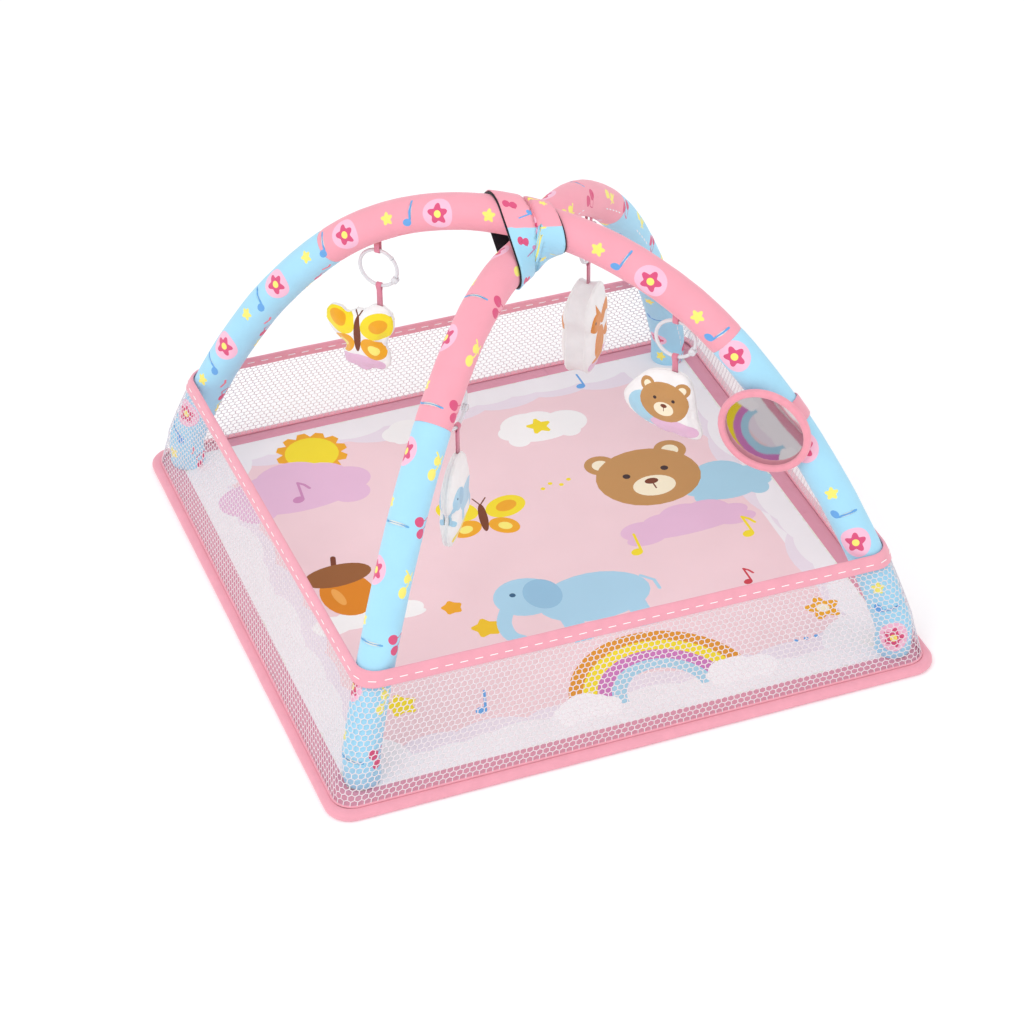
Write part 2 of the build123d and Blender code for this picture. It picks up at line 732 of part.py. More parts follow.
build_mat_layers()
build_edge_binding()
build_corner_pegs()
build_arch(ARCH_A)
build_arch(ARCH_B)
build_fence()
build_hub()
build_toys()
build_mirror()
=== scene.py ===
"""A baby play gym: a quilted square mat with a low net fence round it, and two padded arches
that cross above its middle and carry four soft toys and a round mirror.

The mat lies on the floor round the origin, Z is up and the front is towards -Y. Arch A runs
from the back left corner to the front right one, arch B from the front left to the back right.
Lengths are in mm and become metres as each mesh is made.
"""
import bpy, bmesh, math, random
import numpy as np
from functools import lru_cache
from mathutils import Vector, Matrix, noise
from mathutils.bvhtree import BVHTree
from mathutils.geometry import delaunay_2d_cdt


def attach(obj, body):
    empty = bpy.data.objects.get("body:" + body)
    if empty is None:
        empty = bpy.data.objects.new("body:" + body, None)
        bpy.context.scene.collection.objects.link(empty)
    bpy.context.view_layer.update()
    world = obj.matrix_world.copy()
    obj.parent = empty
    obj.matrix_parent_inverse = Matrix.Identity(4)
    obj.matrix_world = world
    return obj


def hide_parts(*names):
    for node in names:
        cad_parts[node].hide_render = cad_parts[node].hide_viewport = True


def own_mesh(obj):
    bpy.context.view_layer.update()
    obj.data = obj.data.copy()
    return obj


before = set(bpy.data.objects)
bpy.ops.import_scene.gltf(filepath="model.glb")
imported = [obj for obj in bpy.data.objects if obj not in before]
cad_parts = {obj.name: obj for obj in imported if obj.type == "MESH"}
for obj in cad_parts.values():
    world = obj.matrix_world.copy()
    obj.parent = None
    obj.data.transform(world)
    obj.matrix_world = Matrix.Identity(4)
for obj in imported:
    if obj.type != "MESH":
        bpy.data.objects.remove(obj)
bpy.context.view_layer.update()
MM = 0.001
DIAGONAL = math.sqrt(0.5)


# ------------------------------------------------------------------ colours
def linear(channel):
    channel = channel / 255.0
    return channel / 12.92 if channel <= 0.04045 else ((channel + 0.055) / 1.055) ** 2.4


def rgb(red, green, blue):
    return (linear(red), linear(green), linear(blue), 1.0)


PINK = rgb(245, 165, 181)
TRIM_PINK = rgb(238, 164, 180)
EDGE_PINK = rgb(222, 154, 174)
PALE_PINK = rgb(247, 194, 218)
MAT_PINK = rgb(243, 212, 217)
CORAL = rgb(240, 130, 150)
MAGENTA = rgb(221, 84, 128)
RED = rgb(205, 60, 75)
BLUE = rgb(168, 222, 246)
SKY = rgb(170, 214, 234)
NOTE_BLUE = rgb(105, 170, 232)
STROKE_BLUE = rgb(110, 175, 225)
ELEPHANT_BLUE = rgb(172, 214, 236)
EAR_BLUE = rgb(150, 196, 224)
DARK_BLUE = rgb(50, 95, 130)
LILAC = rgb(232, 190, 218)
DEEP_LILAC = rgb(206, 140, 186)
FAINT_LILAC = rgb(236, 226, 236)
WHITE = rgb(243, 241, 244)
CLOUD_WHITE = rgb(248, 248, 247)
TOY_WHITE = rgb(246, 245, 244)
SIDE_WHITE = rgb(238, 238, 238)
CREAM = rgb(250, 240, 210)
YELLOW = rgb(246, 224, 40)
PALE_YELLOW = rgb(250, 238, 120)
GOLD = rgb(240, 196, 30)
ORANGE = rgb(240, 170, 30)
FOX = rgb(224, 134, 14)
ACORN_SHINE = rgb(240, 170, 80)
ACORN_CUP = rgb(150, 92, 44)
BROWN = rgb(196, 146, 88)
DARK_BROWN = rgb(120, 58, 30)
DARK = rgb(60, 40, 40)
RAINBOW = [rgb(226, 150, 40), YELLOW, rgb(208, 124, 190), SKY]


# ------------------------------------------------------------------ print outlines
def turns(count):
    """Equal angles round a circle."""
    return [2 * math.pi * i / count for i in range(count)]


def oval(cx, cy, radius_x, radius_y=None, rot=0.0, n=26):
    radius_y = radius_x if radius_y is None else radius_y
    c, s = math.cos(math.radians(rot)), math.sin(math.radians(rot))
    return [
        (cx + radius_x * math.cos(a) * c - radius_y * math.sin(a) * s,
         cy + radius_x * math.cos(a) * s + radius_y * math.sin(a) * c)
        for a in turns(n)
    ]


def star(cx, cy, radius, inner=0.55, n=5):
    """Star with blunt tips; inner is the share of the radius kept between them."""
    out = []
    for i in range(2 * n):
        a = math.radians(90) + math.pi * i / n
        if i % 2 == 0:
            reach, angles = 0.94 * radius, (a - 0.11, a + 0.11)
        else:
            reach, angles = radius * inner, (a,)
        out += [(cx + reach * math.cos(b), cy + reach * math.sin(b)) for b in angles]
    return out


def petals(cx, cy, radius):
    out = []
    for a in turns(40):
        reach = radius * (0.80 + 0.20 * math.cos(5 * (a - math.radians(90))))
        out.append((cx + reach * math.cos(a), cy + reach * math.sin(a)))
    return out


def arc(cx, cy, radius, start, end, n):
    angles = [math.radians(start + (end - start) * i / n) for i in range(n + 1)]
    return [(cx + radius * math.cos(a), cy + radius * math.sin(a)) for a in angles]


def spline(p0, p1, p2, p3, t):
    """Point between p1 and p2 on a smooth curve through all four."""
    return tuple(
        0.5 * ((2 * b) + (-a + c) * t + (2 * a - 5 * b + 4 * c - d) * t * t
               + (-a + 3 * b - 3 * c + d) * t ** 3)
        for a, b, c, d in zip(p0, p1, p2, p3)
    )


def smooth_open(pts, per=4):
    out = []
    for i in range(len(pts) - 1):
        near = (pts[max(i - 1, 0)], pts[i], pts[i + 1], pts[min(i + 2, len(pts) - 1)])
        out += [spline(*near, j / per) for j in range(per)]
    return out + [pts[-1]]


def smooth_closed(pts, n):
    """Closed smooth curve of about n points."""
    out = []
    count = len(pts)
    per = max(2, n // count)
    for i in range(count):
        near = (pts[i - 1], pts[i], pts[(i + 1) % count], pts[(i + 2) % count])
        out += [spline(*near, j / per) for j in range(per)]
    return out


# ------------------------------------------------------------------ prints
# A print is a list of (outline, colour); later shapes lie over earlier ones.
def stroke(pts, width, colour):
    """A box for each stretch of the line and a round dot at each point."""
    out = []
    half = width / 2
    for (x0, y0), (x1, y1) in zip(pts, pts[1:]):
        d = math.hypot(x1 - x0, y1 - y0)
        nx, ny = -(y1 - y0) / d * half, (x1 - x0) / d * half
        box = [(x0 + nx, y0 + ny), (x0 - nx, y0 - ny), (x1 - nx, y1 - ny), (x1 + nx, y1 + ny)]
        out.append((box, colour))
    return out + [(oval(x, y, half, n=8), colour) for x, y in pts]


def cloud(cx, cy, width, height, colour, seed):
    draw = random.Random(seed)
    out = [(oval(cx, cy - height * 0.12, width * 0.42, height * 0.26), colour)]
    for i in range(5):
        t = -0.36 + 0.18 * i
        k = 0.30 + 0.10 * math.cos(i * 1.9 + seed) + 0.06 * draw.random()
        y = cy + height * (0.02 + 0.20 * math.cos(t * 4))
        out.append((oval(cx + t * width, y, height * k + width * 0.05, height * k), colour))
    for x in (cx - width * 0.36, cx + width * 0.36):
        out.append((oval(x, cy - height * 0.22, width * 0.15, height * 0.2), colour))
    return out


def note(cx, cy, size, colour, lean=0.0, flag=False):
    """Musical note: head, stem and, with flag, a hook at the stem's top."""
    x, y = cx + 4.6 * size + lean * 26 * size, cy + 26 * size
    out = [(oval(cx, cy, 6.0 * size, 4.8 * size, 20), colour)]
    out += stroke([(cx + 4.6 * size, cy + 1.5 * size), (x, y)], 2.6 * size, colour)
    if flag:
        hook = [(x, y), (x + 5 * size, y - 5 * size), (x + 8 * size, y - 12 * size)]
        out += stroke(hook, 3.0 * size, colour)
    return out


def moved(shapes, dx, dy, size=1.0, rot=0.0):
    c, s = math.cos(math.radians(rot)), math.sin(math.radians(rot))
    return [
        ([(dx + size * (c * x - s * y), dy + size * (s * x + c * y)) for x, y in pts], colour)
        for pts, colour in shapes
    ]


def bear_print():
    """Teddy head from the front."""
    o = [(oval(s * 48, 44, 21), BROWN) for s in (-1, 1)]
    o += [(oval(s * 48, 44, 11), CREAM) for s in (-1, 1)]
    o += [(oval(0, 0, 68, 60), BROWN), (oval(0, -20, 28, 21), CREAM)]
    o += [(oval(0, -10, 9, 6), DARK_BROWN)]
    o += [(oval(s * 26, 10, 5), DARK) for s in (-1, 1)]
    return o + stroke([(0, -14), (0, -26)], 2, DARK_BROWN)


def butterfly_print():
    """Four wings, feelers and a body."""
    o = []
    for s in (-1, 1):
        o += [(oval(s * 30, 18, 27, 20, s * 30), YELLOW)]
        o += [(oval(s * 31, 19, 14, 10, s * 30), ORANGE)]
        o += [(oval(s * 23, -20, 20, 15, -s * 34), ORANGE)]
        o += [(oval(s * 24, -21, 9, 7, -s * 34), PALE_YELLOW)]
        o += stroke([(0, 26), (s * 8, 40)], 1.8, DARK_BROWN)
    return o + [(oval(0, 0, 5.5, 28), DARK_BROWN)]


def acorn_print():
    """Acorn with one leaf."""
    o = [(oval(56, -6, 32, 13, 40), YELLOW)] + stroke([(36, -22), (76, 10)], 2, ORANGE)
    o += [(oval(0, -18, 34, 44), FOX), (oval(-12, -20, 6, 18, 8), ACORN_SHINE)]
    return o + stroke([(0, 36), (6, 58)], 7, DARK_BROWN) + [(oval(0, 22, 44, 22), ACORN_CUP)]


def squirrel_print():
    """Squirrel from the side."""
    o = stroke(arc(24, 2, 20, -95, 150, 12), 19, FOX)
    o += [(oval(-6, -22, 20, 26), FOX), (oval(-17, 16, 18, 15), FOX)]
    o += [([(-20, 27), (-13, 43), (-5, 27)], FOX)]
    return o + [(oval(-10, -46, 18, 5), FOX), (oval(-23, 18, 2.4), DARK)]


def elephant_print():
    """Elephant from the side."""
    o = [([(x - 15, -44), (x + 15, -44), (x + 14, -104), (x - 14, -104)], ELEPHANT_BLUE)
         for x in (-26, 70)]
    o += [(oval(22, -18, 82, 52), ELEPHANT_BLUE), (oval(-66, 16, 46, 42), ELEPHANT_BLUE)]
    trunk = smooth_open([(-96, 4), (-114, -26), (-116, -56), (-104, -72)])
    o += stroke(trunk, 21, ELEPHANT_BLUE)
    o += stroke([(100, 2), (114, -14), (114, -34)], 5, ELEPHANT_BLUE)
    return o + [(oval(-42, 14, 27, 34), EAR_BLUE), (oval(-82, 26, 4.5), DARK_BLUE)]


def sun_print():
    return [(star(0, 0, 58, 0.76, n=12), ORANGE), (oval(0, 0, 41), YELLOW)]


def rainbow(cx, cy, radius, colours, width):
    out = []
    for i, colour in enumerate(colours):
        outer = radius - i * width
        ring = arc(cx, cy, outer, 0, 180, 26) + arc(cx, cy, outer - width * 1.02, 180, 0, 26)
        out.append((ring, colour))
    return out


# ------------------------------------------------------------------ meshes
def add_object(name, data):
    ob = bpy.data.objects.new(name, data)
    bpy.context.collection.objects.link(ob)
    return ob


def shade_smooth(data):
    data.polygons.foreach_set("use_smooth", [True] * len(data.polygons))


def clean(outline):
    """The outline without doubled points, anticlockwise."""
    out = []
    for p in outline:
        if not out or math.hypot(p[0] - out[-1][0], p[1] - out[-1][1]) > 0.02:
            out.append(p)
    if len(out) > 2 and math.hypot(out[0][0] - out[-1][0], out[0][1] - out[-1][1]) < 0.02:
        out.pop()
    area_sum = sum(p[0] * q[1] - q[0] * p[1] for p, q in zip(out, out[1:] + out[:1]))
    return out if area_sum > 0 else out[::-1]


def paint(name, outline, base, shapes, step, place, material):
    """One mesh: the outline filled with the base colour and printed with the shapes, cut up on
    a grid of the given step and laid on a surface by place(u, v)."""
    border = clean(outline)
    verts = [Vector(p) for p in border]
    faces, colours = [list(range(len(border)))], [base]
    for pts, colour in shapes:
        pts = clean(pts)
        if len(pts) < 3:
            continue
        faces.append(list(range(len(verts), len(verts) + len(pts))))
        verts += [Vector(p) for p in pts]
        colours.append(colour)
    x0, x1 = min(p[0] for p in border), max(p[0] for p in border)
    y0, y1 = min(p[1] for p in border), max(p[1] for p in border)
    for iy in range(int((y1 - y0) / step) + 1):
        for ix in range(int((x1 - x0) / step) + 1):
            # the small offsets keep grid points off the printed edges
            u = x0 + step * (ix + (0.5 if iy % 2 else 0.0)) + 0.137
            v = y0 + step * iy + 0.211
            if u < x1 and v < y1:
                verts.append(Vector((u, v)))
    points, _, cut, _, _, sources = delaunay_2d_cdt(verts, [], faces, 1, 1e-4, True)
    kept, face_colours = [], []
    for face, ids in zip(cut, sources):
        if 0 in ids:
            kept.append(tuple(face))
            face_colours.append(colours[max(ids)])
    used = sorted({i for face in kept for i in face})
    index = {old: new for new, old in enumerate(used)}
    placed = [Vector(place(points[i][0], points[i][1])) * MM for i in used]
    data = bpy.data.meshes.new(name)
    data.from_pydata(placed, [], [tuple(index[i] for i in face) for face in kept])
    layer = data.color_attributes.new("Print", "FLOAT_COLOR", "CORNER")
    values = np.empty((len(data.loops), 4), np.float32)
    k = 0
    for face, colour in zip(data.polygons, face_colours):
        values[k : k + face.loop_total] = colour
        k += face.loop_total
    layer.data.foreach_set("color", values.ravel())
    shade_smooth(data)
    data.materials.append(material)
    return add_object(name, data)


def weld(ob, distance):
    """Closes the seam where a print meets itself."""
    bm = bmesh.new()
    bm.from_mesh(ob.data)
    bmesh.ops.remove_doubles(bm, verts=bm.verts, dist=distance)
    bm.to_mesh(ob.data)
    bm.free()
    shade_smooth(ob.data)


def strip(rows, close_rows, close_points):
    """Quads between rows of points, closed from last row to first and round each row."""
    n, m = len(rows), len(rows[0])
    faces = []
    for i in range(n if close_rows else n - 1):
        for j in range(m if close_points else m - 1):
            i2, j2 = (i + 1) % n, (j + 1) % m
            faces.append((i * m + j, i2 * m + j, i2 * m + j2, i * m + j2))
    return [p for row in rows for p in row], faces


def capped(rows):
    """Tube through the rows, with a face at each end."""
    verts, faces = strip(rows, False, True)
    m = len(rows[0])
    return verts, faces + [tuple(range(m - 1, -1, -1)), tuple(range(len(verts) - m, len(verts)))]


def build(name, parts, material):
    """One smooth object from (verts, faces) parts."""
    verts, faces = [], []
    for part_verts, part_faces in parts:
        k = len(verts)
        verts += part_verts
        faces += [tuple(i + k for i in face) for face in part_faces]
    data = bpy.data.meshes.new(name)
    data.from_pydata([Vector(v) * MM for v in verts], [], faces)
    data.validate()
    bm = bmesh.new()
    bm.from_mesh(data)
    bmesh.ops.recalc_face_normals(bm, faces=bm.faces)
    bm.to_mesh(data)
    bm.free()
    shade_smooth(data)
    data.materials.append(material)
    return add_object(name, data)


def fit(ob, piece, body):
    """The object stands in for a CAD piece and moves with a body."""
    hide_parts(piece)
    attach(ob, body)


# ------------------------------------------------------------------ materials
def new_material(name):
    material = bpy.data.materials.new(name)
    material.use_nodes = True
    return material, material.node_tree, material.node_tree.nodes["Principled BSDF"]


def set_inputs(node, **values):
    """Sets inputs by name, with _ for each space."""
    for key, value in values.items():
        node.inputs[key.replace("_", " ")].default_value = value


def add_node(tree, kind, **values):
    node = tree.nodes.new(kind)
    set_inputs(node, **values)
    return node


def fabric(name, colour=None, rough=0.85, weave=900.0, weave_amt=0.25, wrinkle=35.0,
           wrinkle_amt=0.25, sheen=0.25, var=0.05):
    """Cloth, printed unless a colour is given, with fine weave and soft wrinkles in the bump.
    weave and wrinkle are noise scales and var is how far the brightness varies with the wrinkle
    noise, darker where the wrinkle bump is low: painted shade in the wrinkles' hollows."""
    material, tree, shader = new_material(name)
    link = tree.links.new
    coords = add_node(tree, "ShaderNodeTexCoord")
    weave_noise = add_node(tree, "ShaderNodeTexNoise", Scale=weave, Detail=2.0)
    wrinkle_noise = add_node(tree, "ShaderNodeTexNoise", Scale=wrinkle, Detail=3.0)
    weave_bump = add_node(tree, "ShaderNodeBump", Strength=weave_amt, Distance=0.0004)
    wrinkle_bump = add_node(tree, "ShaderNodeBump", Strength=wrinkle_amt, Distance=0.003)
    for texture, bump in ((weave_noise, weave_bump), (wrinkle_noise, wrinkle_bump)):
        link(coords.outputs["Object"], texture.inputs["Vector"])
        link(texture.outputs["Fac"], bump.inputs["Height"])
    link(wrinkle_bump.outputs["Normal"], weave_bump.inputs["Normal"])
    link(weave_bump.outputs["Normal"], shader.inputs["Normal"])
    # painted shade: the brightness follows the same noise as the wrinkle bump, darker where the
    # wrinkles are low
    tint = add_node(tree, "ShaderNodeHueSaturation")
    shade = add_node(tree, "ShaderNodeMapRange", From_Min=0.3, From_Max=0.7,
                     To_Min=1.0 - var, To_Max=1.0 + var * 0.5)
    link(wrinkle_noise.outputs["Fac"], shade.inputs["Value"])
    link(shade.outputs["Result"], tint.inputs["Value"])
    if colour is None:
        print_layer = add_node(tree, "ShaderNodeVertexColor")
        print_layer.layer_name = "Print"
        link(print_layer.outputs["Color"], tint.inputs["Color"])
    else:
        set_inputs(tint, Color=colour)
    link(tint.outputs["Color"], shader.inputs["Base Color"])
    set_inputs(shader, Roughness=rough, Sheen_Weight=sheen, Sheen_Roughness=0.5,
               Specular_IOR_Level=0.25)
    return material


def plastic(name, colour, rough, coat, bump=0.05):
    """Moulded plastic, slightly uneven in height and gloss."""
    material, tree, shader = new_material(name)
    link = tree.links.new
    coords = add_node(tree, "ShaderNodeTexCoord")
    texture = add_node(tree, "ShaderNodeTexNoise", Scale=260.0)
    link(coords.outputs["Object"], texture.inputs["Vector"])
    relief = add_node(tree, "ShaderNodeBump", Strength=bump, Distance=0.0006)
    link(texture.outputs["Fac"], relief.inputs["Height"])
    link(relief.outputs["Normal"], shader.inputs["Normal"])
    gloss = add_node(tree, "ShaderNodeMapRange", To_Min=rough * 0.8, To_Max=rough * 1.25)
    link(texture.outputs["Fac"], gloss.inputs["Value"])
    link(gloss.outputs["Result"], shader.inputs["Roughness"])
    set_inputs(shader, Base_Color=colour, Coat_Weight=coat)
    return material


def mirror_film():
    """Shiny film with faint waves, its normals tipped by a fixed amount."""
    material, tree, shader = new_material("mirror_film")
    link = tree.links.new
    coords = add_node(tree, "ShaderNodeTexCoord")
    texture = add_node(tree, "ShaderNodeTexNoise", Scale=22.0)
    link(coords.outputs["Object"], texture.inputs["Vector"])
    waves = add_node(tree, "ShaderNodeBump", Strength=0.08, Distance=0.002)
    link(texture.outputs["Fac"], waves.inputs["Height"])
    tip = add_node(tree, "ShaderNodeVectorTransform")
    tip.vector_type = "VECTOR"
    tip.convert_from = "OBJECT"
    tip.convert_to = "WORLD"
    tip.inputs[0].default_value = (0.046, 0.0, -0.225)
    total = add_node(tree, "ShaderNodeVectorMath")
    total.operation = "ADD"
    unit = add_node(tree, "ShaderNodeVectorMath")
    unit.operation = "NORMALIZE"
    link(waves.outputs["Normal"], total.inputs[0])
    link(tip.outputs[0], total.inputs[1])
    link(total.outputs[0], unit.inputs[0])
    link(unit.outputs[0], shader.inputs["Normal"])
    set_inputs(shader, Metallic=1.0, Base_Color=rgb(205, 205, 205), Roughness=0.05)
    return material


MAT_PRINT = fabric("print_cloth", rough=0.7, wrinkle=14.0, wrinkle_amt=0.20, sheen=0.15, var=0.02)
SLEEVE = fabric("sleeve_cloth", rough=0.72, wrinkle=28.0, wrinkle_amt=0.35, var=0.03)
PLUSH = fabric("plush_cloth", wrinkle=60.0, wrinkle_amt=0.45, sheen=0.5, var=0.04)
TRIM = fabric("trim_cloth", TRIM_PINK, rough=0.8, wrinkle=60.0, wrinkle_amt=0.3, sheen=0.35,
              var=0.04)
NET = fabric("net_thread", rgb(240, 230, 234), rough=0.75, weave=1500.0, wrinkle=200.0,
             wrinkle_amt=0.1, sheen=0.2, var=0.02)
THREAD = fabric("white_thread", rgb(255, 250, 250), rough=0.6, weave=2500.0, weave_amt=0.5,
                wrinkle=300.0, sheen=0.2, var=0.02)
WEBBING = fabric("pink_webbing", rgb(222, 136, 158), rough=0.8, weave=1500.0, weave_amt=0.6,
                 wrinkle=120.0, sheen=0.3, var=0.06)
HOOK_TAPE = fabric("black_hook_tape", rgb(34, 34, 40), rough=0.95, weave=1400.0, weave_amt=0.9,
                   wrinkle=90.0, sheen=0.2, var=0.2)
WHITE_PLASTIC = plastic("white_plastic", rgb(222, 224, 228), rough=0.22, coat=0.5)
POLE = plastic("pole_plastic", rgb(214, 214, 210), rough=0.5, coat=0.0, bump=0.2)
ROD = plastic("rod_plastic", rgb(96, 98, 104), rough=0.45, coat=0.0, bump=0.2)
FOAM = fabric("foam", rgb(236, 236, 228), rough=0.95, weave=500.0, weave_amt=0.8,
              wrinkle=120.0, sheen=0.0, var=0.06)
STUFFING = fabric("stuffing_fibre", rgb(245, 245, 243), rough=1.0, weave=700.0, weave_amt=0.9,
                  wrinkle=90.0, sheen=0.4, var=0.06)
UNDERSIDE = fabric("under_cloth", rgb(226, 228, 232), rough=0.9, weave=1100.0, weave_amt=0.5,
                   wrinkle=18.0, sheen=0.1, var=0.04)
MIRROR_CLOTH = fabric("mirror_frame_cloth", rgb(240, 158, 174), rough=0.7, wrinkle=90.0,
                      wrinkle_amt=0.35, sheen=0.35)
MIRROR_FILM = mirror_film()


def finish_piece(node, material):
    """Gives a CAD piece that stays shown its material."""
    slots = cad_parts[node].data.materials
    if not slots:
        slots.append(material)
    else:
        for i in range(len(slots)):
            slots[i] = material


# ------------------------------------------------------------------ arch centre lines
def swing(r, z, old, new, radius):
    """Where a point comes to as its heading swings from old to new on a bend."""
    cx, cz = r - math.sin(old) * radius, z - math.cos(old) * radius
    return cx + math.sin(new) * radius, cz + math.cos(new) * radius


class Arch:
    """Centre line of an arch: bends of (degrees, radius) from the top down, then a straight
    foot. s runs along it from 0 at the top and is negative on the left half; r is the
    distance from the middle along the floor."""

    def __init__(self, top_z, bends, direction):
        self.along = Vector((direction[0], direction[1], 0))
        self.across = Vector((direction[1], -direction[0], 0))
        self.parts = []  # start, end, r, z, heading, radius (negative bends up, 0 is straight)
        r, z, heading, s = 0.0, top_z, 0.0, 0.0
        for degrees, radius in bends:
            turn = math.radians(degrees)
            length = abs(turn) * radius
            signed = math.copysign(radius, turn)
            self.parts.append((s, s + length, r, z, heading, signed))
            r, z = swing(r, z, heading, heading + turn, signed)
            heading += turn
            s += length
        self.end = s + z + 5
        self.parts.append((s, self.end, r, z, math.pi / 2, 0.0))

    def at(self, s):
        """(r, z) and the tangent in the same plane."""
        dist = abs(s)
        for start, end, r, z, heading, radius in self.parts:
            if dist <= end:
                break
        if radius:
            now = heading + (dist - start) / radius
            r, z = swing(r, z, heading, now, radius)
            heading = now
        else:
            z -= dist - start
        tr, tz = math.cos(heading), -math.sin(heading)
        return ((-r, z), (tr, -tz)) if s < 0 else ((r, z), (tr, tz))

    def first(self, passed):
        """Smallest s for which passed(s) holds."""
        low, high = 0.0, self.end
        for _ in range(50):
            mid = (low + high) / 2
            if passed(mid):
                high = mid
            else:
                low = mid
        return (low + high) / 2

    def s_of_r(self, r):
        s = self.first(lambda m: self.at(m)[0][0] > abs(r))
        return s if r >= 0 else -s

    def s_of_z(self, z):
        return self.first(lambda m: self.at(m)[0][1] < z and m > 100)

    def axes(self, s):
        """Centre, tangent, across direction and outward direction."""
        (r, z), (tr, tz) = self.at(s)
        centre = self.along * r + Vector((0, 0, z))
        tangent = self.along * tr + Vector((0, 0, tz))
        return centre, tangent, self.across, self.along * (-tz) + Vector((0, 0, tr))

    def surface(self, s, degrees, radius):
        """Point round the centre line, from the across direction towards the outward one."""
        centre, _, across, outward = self.axes(s)
        a = math.radians(degrees)
        return centre + (across * math.cos(a) + outward * math.sin(a)) * radius


ARCH_A = Arch(
    555.2,
    [(43.084, 415.2), (12.535, 813.0), (12.488, 1234.3), (21.893, 80.0)],
    (DIAGONAL, -DIAGONAL),
)
ARCH_B = Arch(
    504.8,
    [(-10.0, 150.0), (41.882, 249.0), (19.612, 603.2), (16.016, 1100.3), (22.490, 80.0)],
    (DIAGONAL, DIAGONAL),
)

# ------------------------------------------------------------------ arch sleeves
TUBE = 24.5  # padded arch's radius
GIRTH = 2 * math.pi * TUBE
MM_PER_DEGREE = GIRTH / 360.0
PRINT_REPEAT = 150.0
SEAM_R = 283.0
FOOT_Z = 17.3


def sleeve_tile_a():
    """One repeat of arch A's print: mm along the sleeve and round it, from the big flower."""
    o = [(oval(0, 0, 21.5, n=32), PALE_PINK), (petals(0, 0, 15), MAGENTA)]
    o += [(oval(0, 0, 5), PALE_YELLOW)]
    o += note(-48, -8, 1.12, NOTE_BLUE, lean=0.12)
    o += [(petals(-77, 2, 9.5), PALE_YELLOW)]
    # rows towards the underside
    o += stroke([(-73, -28), (-64, -31), (-58, -29)], 3.2, CORAL)
    o += [(oval(22, -47, 5.5, 7), PALE_YELLOW), (oval(12, -53, 5, 5.5), PALE_YELLOW)]
    o += stroke([(26, -44), (34, -40), (38, -46)], 2.4, PALE_YELLOW)
    for dash in ([(2, -60), (8, -62)], [(14, -63), (20, -64)], [(26, -63), (32, -60)]):
        o += stroke(dash, 1.6, WHITE)
    o += [(oval(52, -40, 7.5, 6), MAGENTA), (oval(62, -50, 7.5, 6), MAGENTA)]
    o += stroke([(56, -38), (66, -34), (70, -44)], 1.6, MAGENTA)
    # the opposite side
    o += [(oval(-30, 62, 16, n=26), PALE_PINK), (petals(-30, 62, 11), MAGENTA)]
    o += [(oval(-30, 62, 4), PALE_YELLOW)] + note(30, 58, 0.8, NOTE_BLUE, lean=0.1)
    return o + [(petals(60, 60, 8), PALE_YELLOW)]


def sleeve_tile_b():
    """One repeat of arch B's print, measured in the same way."""
    o = [(oval(0, 7, 19, n=30), PALE_PINK), (petals(0, 7, 14), MAGENTA)]
    o += [(oval(0, 7, 4.6), PALE_YELLOW), (petals(-64, 11, 8.5), PALE_YELLOW)]
    o += stroke([(-90, 14), (-86, 13), (-88, 9), (-89, -27)], 2.4, STROKE_BLUE)
    # cherries: two dots with bent stems
    o += [(oval(56, -48, 6.5, 8, 10), MAGENTA), (oval(70, -41, 6.5, 8, -10), MAGENTA)]
    o += stroke([(57, -44), (66, -57), (78, -60)], 1.5, MAGENTA)
    o += stroke([(71, -38), (73, -50), (78, -60)], 1.5, MAGENTA)
    # a pair of yellow notes with white dashes
    o += [(oval(-20, -40, 7.5, 6.5), PALE_YELLOW), (oval(-2, -42, 6, 5), PALE_YELLOW)]
    o += stroke([(-20, -40), (-10, -46), (6, -50)], 2.2, PALE_YELLOW)
    o += stroke([(-4, -52), (8, -38)], 2.6, PALE_YELLOW)
    for i in range(5):
        o += stroke([(-14 + 13 * i, -60 + 0.5 * i), (-7 + 13 * i, -60.5 + 0.5 * i)], 1.5, WHITE)
    # the opposite side
    o += [(oval(20, 58, 15, n=26), PALE_PINK), (petals(20, 58, 11), MAGENTA)]
    o += [(oval(20, 58, 4), PALE_YELLOW)] + note(-40, 52, 0.8, NOTE_BLUE, lean=0.1)
    return o + [(petals(62, 62, 8), PALE_YELLOW)]


def sleeve(piece, arch, tile, start, end, base, phase, middle):
    """A length of printed sleeve. phase is where one tile's middle lies along the arch and
    middle is where the tiles' middle line lies round it, in degrees."""
    half = GIRTH / 2
    shapes = []
    for k in range(-6, 7):
        tile_s = phase + PRINT_REPEAT * k
        if tile_s < start - 110 or tile_s > end + 110:
            continue
        for pts, colour in tile:
            for wrap in (-GIRTH, 0.0, GIRTH):
                q = [(tile_s + x, y + wrap) for x, y in pts]
                if max(p[0] for p in q) < start or min(p[0] for p in q) > end:
                    continue
                if max(p[1] for p in q) < -half or min(p[1] for p in q) > half:
                    continue
                shapes.append((q, colour))
    n = int((end - start) / 5)
    m = 30
    border = [(start + (end - start) * i / n, -half) for i in range(n)]
    border += [(end, -half + GIRTH * i / m) for i in range(m)]
    border += [(end - (end - start) * i / n, half) for i in range(n)]
    border += [(start, half - GIRTH * i / m) for i in range(m)]

    def place(u, v):
        degrees = middle + v / MM_PER_DEGREE
        p = arch.surface(u, degrees, TUBE)
        wave = noise.noise(p * 0.018) * 0.55 + noise.noise(p * 0.06) * 0.22
        tuck = -0.7 * math.exp(-((min(u - start, end - u) / 2.2) ** 2))
        return arch.surface(u, degrees, TUBE + wave + tuck)

    ob = paint(f"print_{piece}", border, base, shapes, 4.6, place, SLEEVE)
    weld(ob, 0.00002)
    fit(ob, piece, "arch_frame")


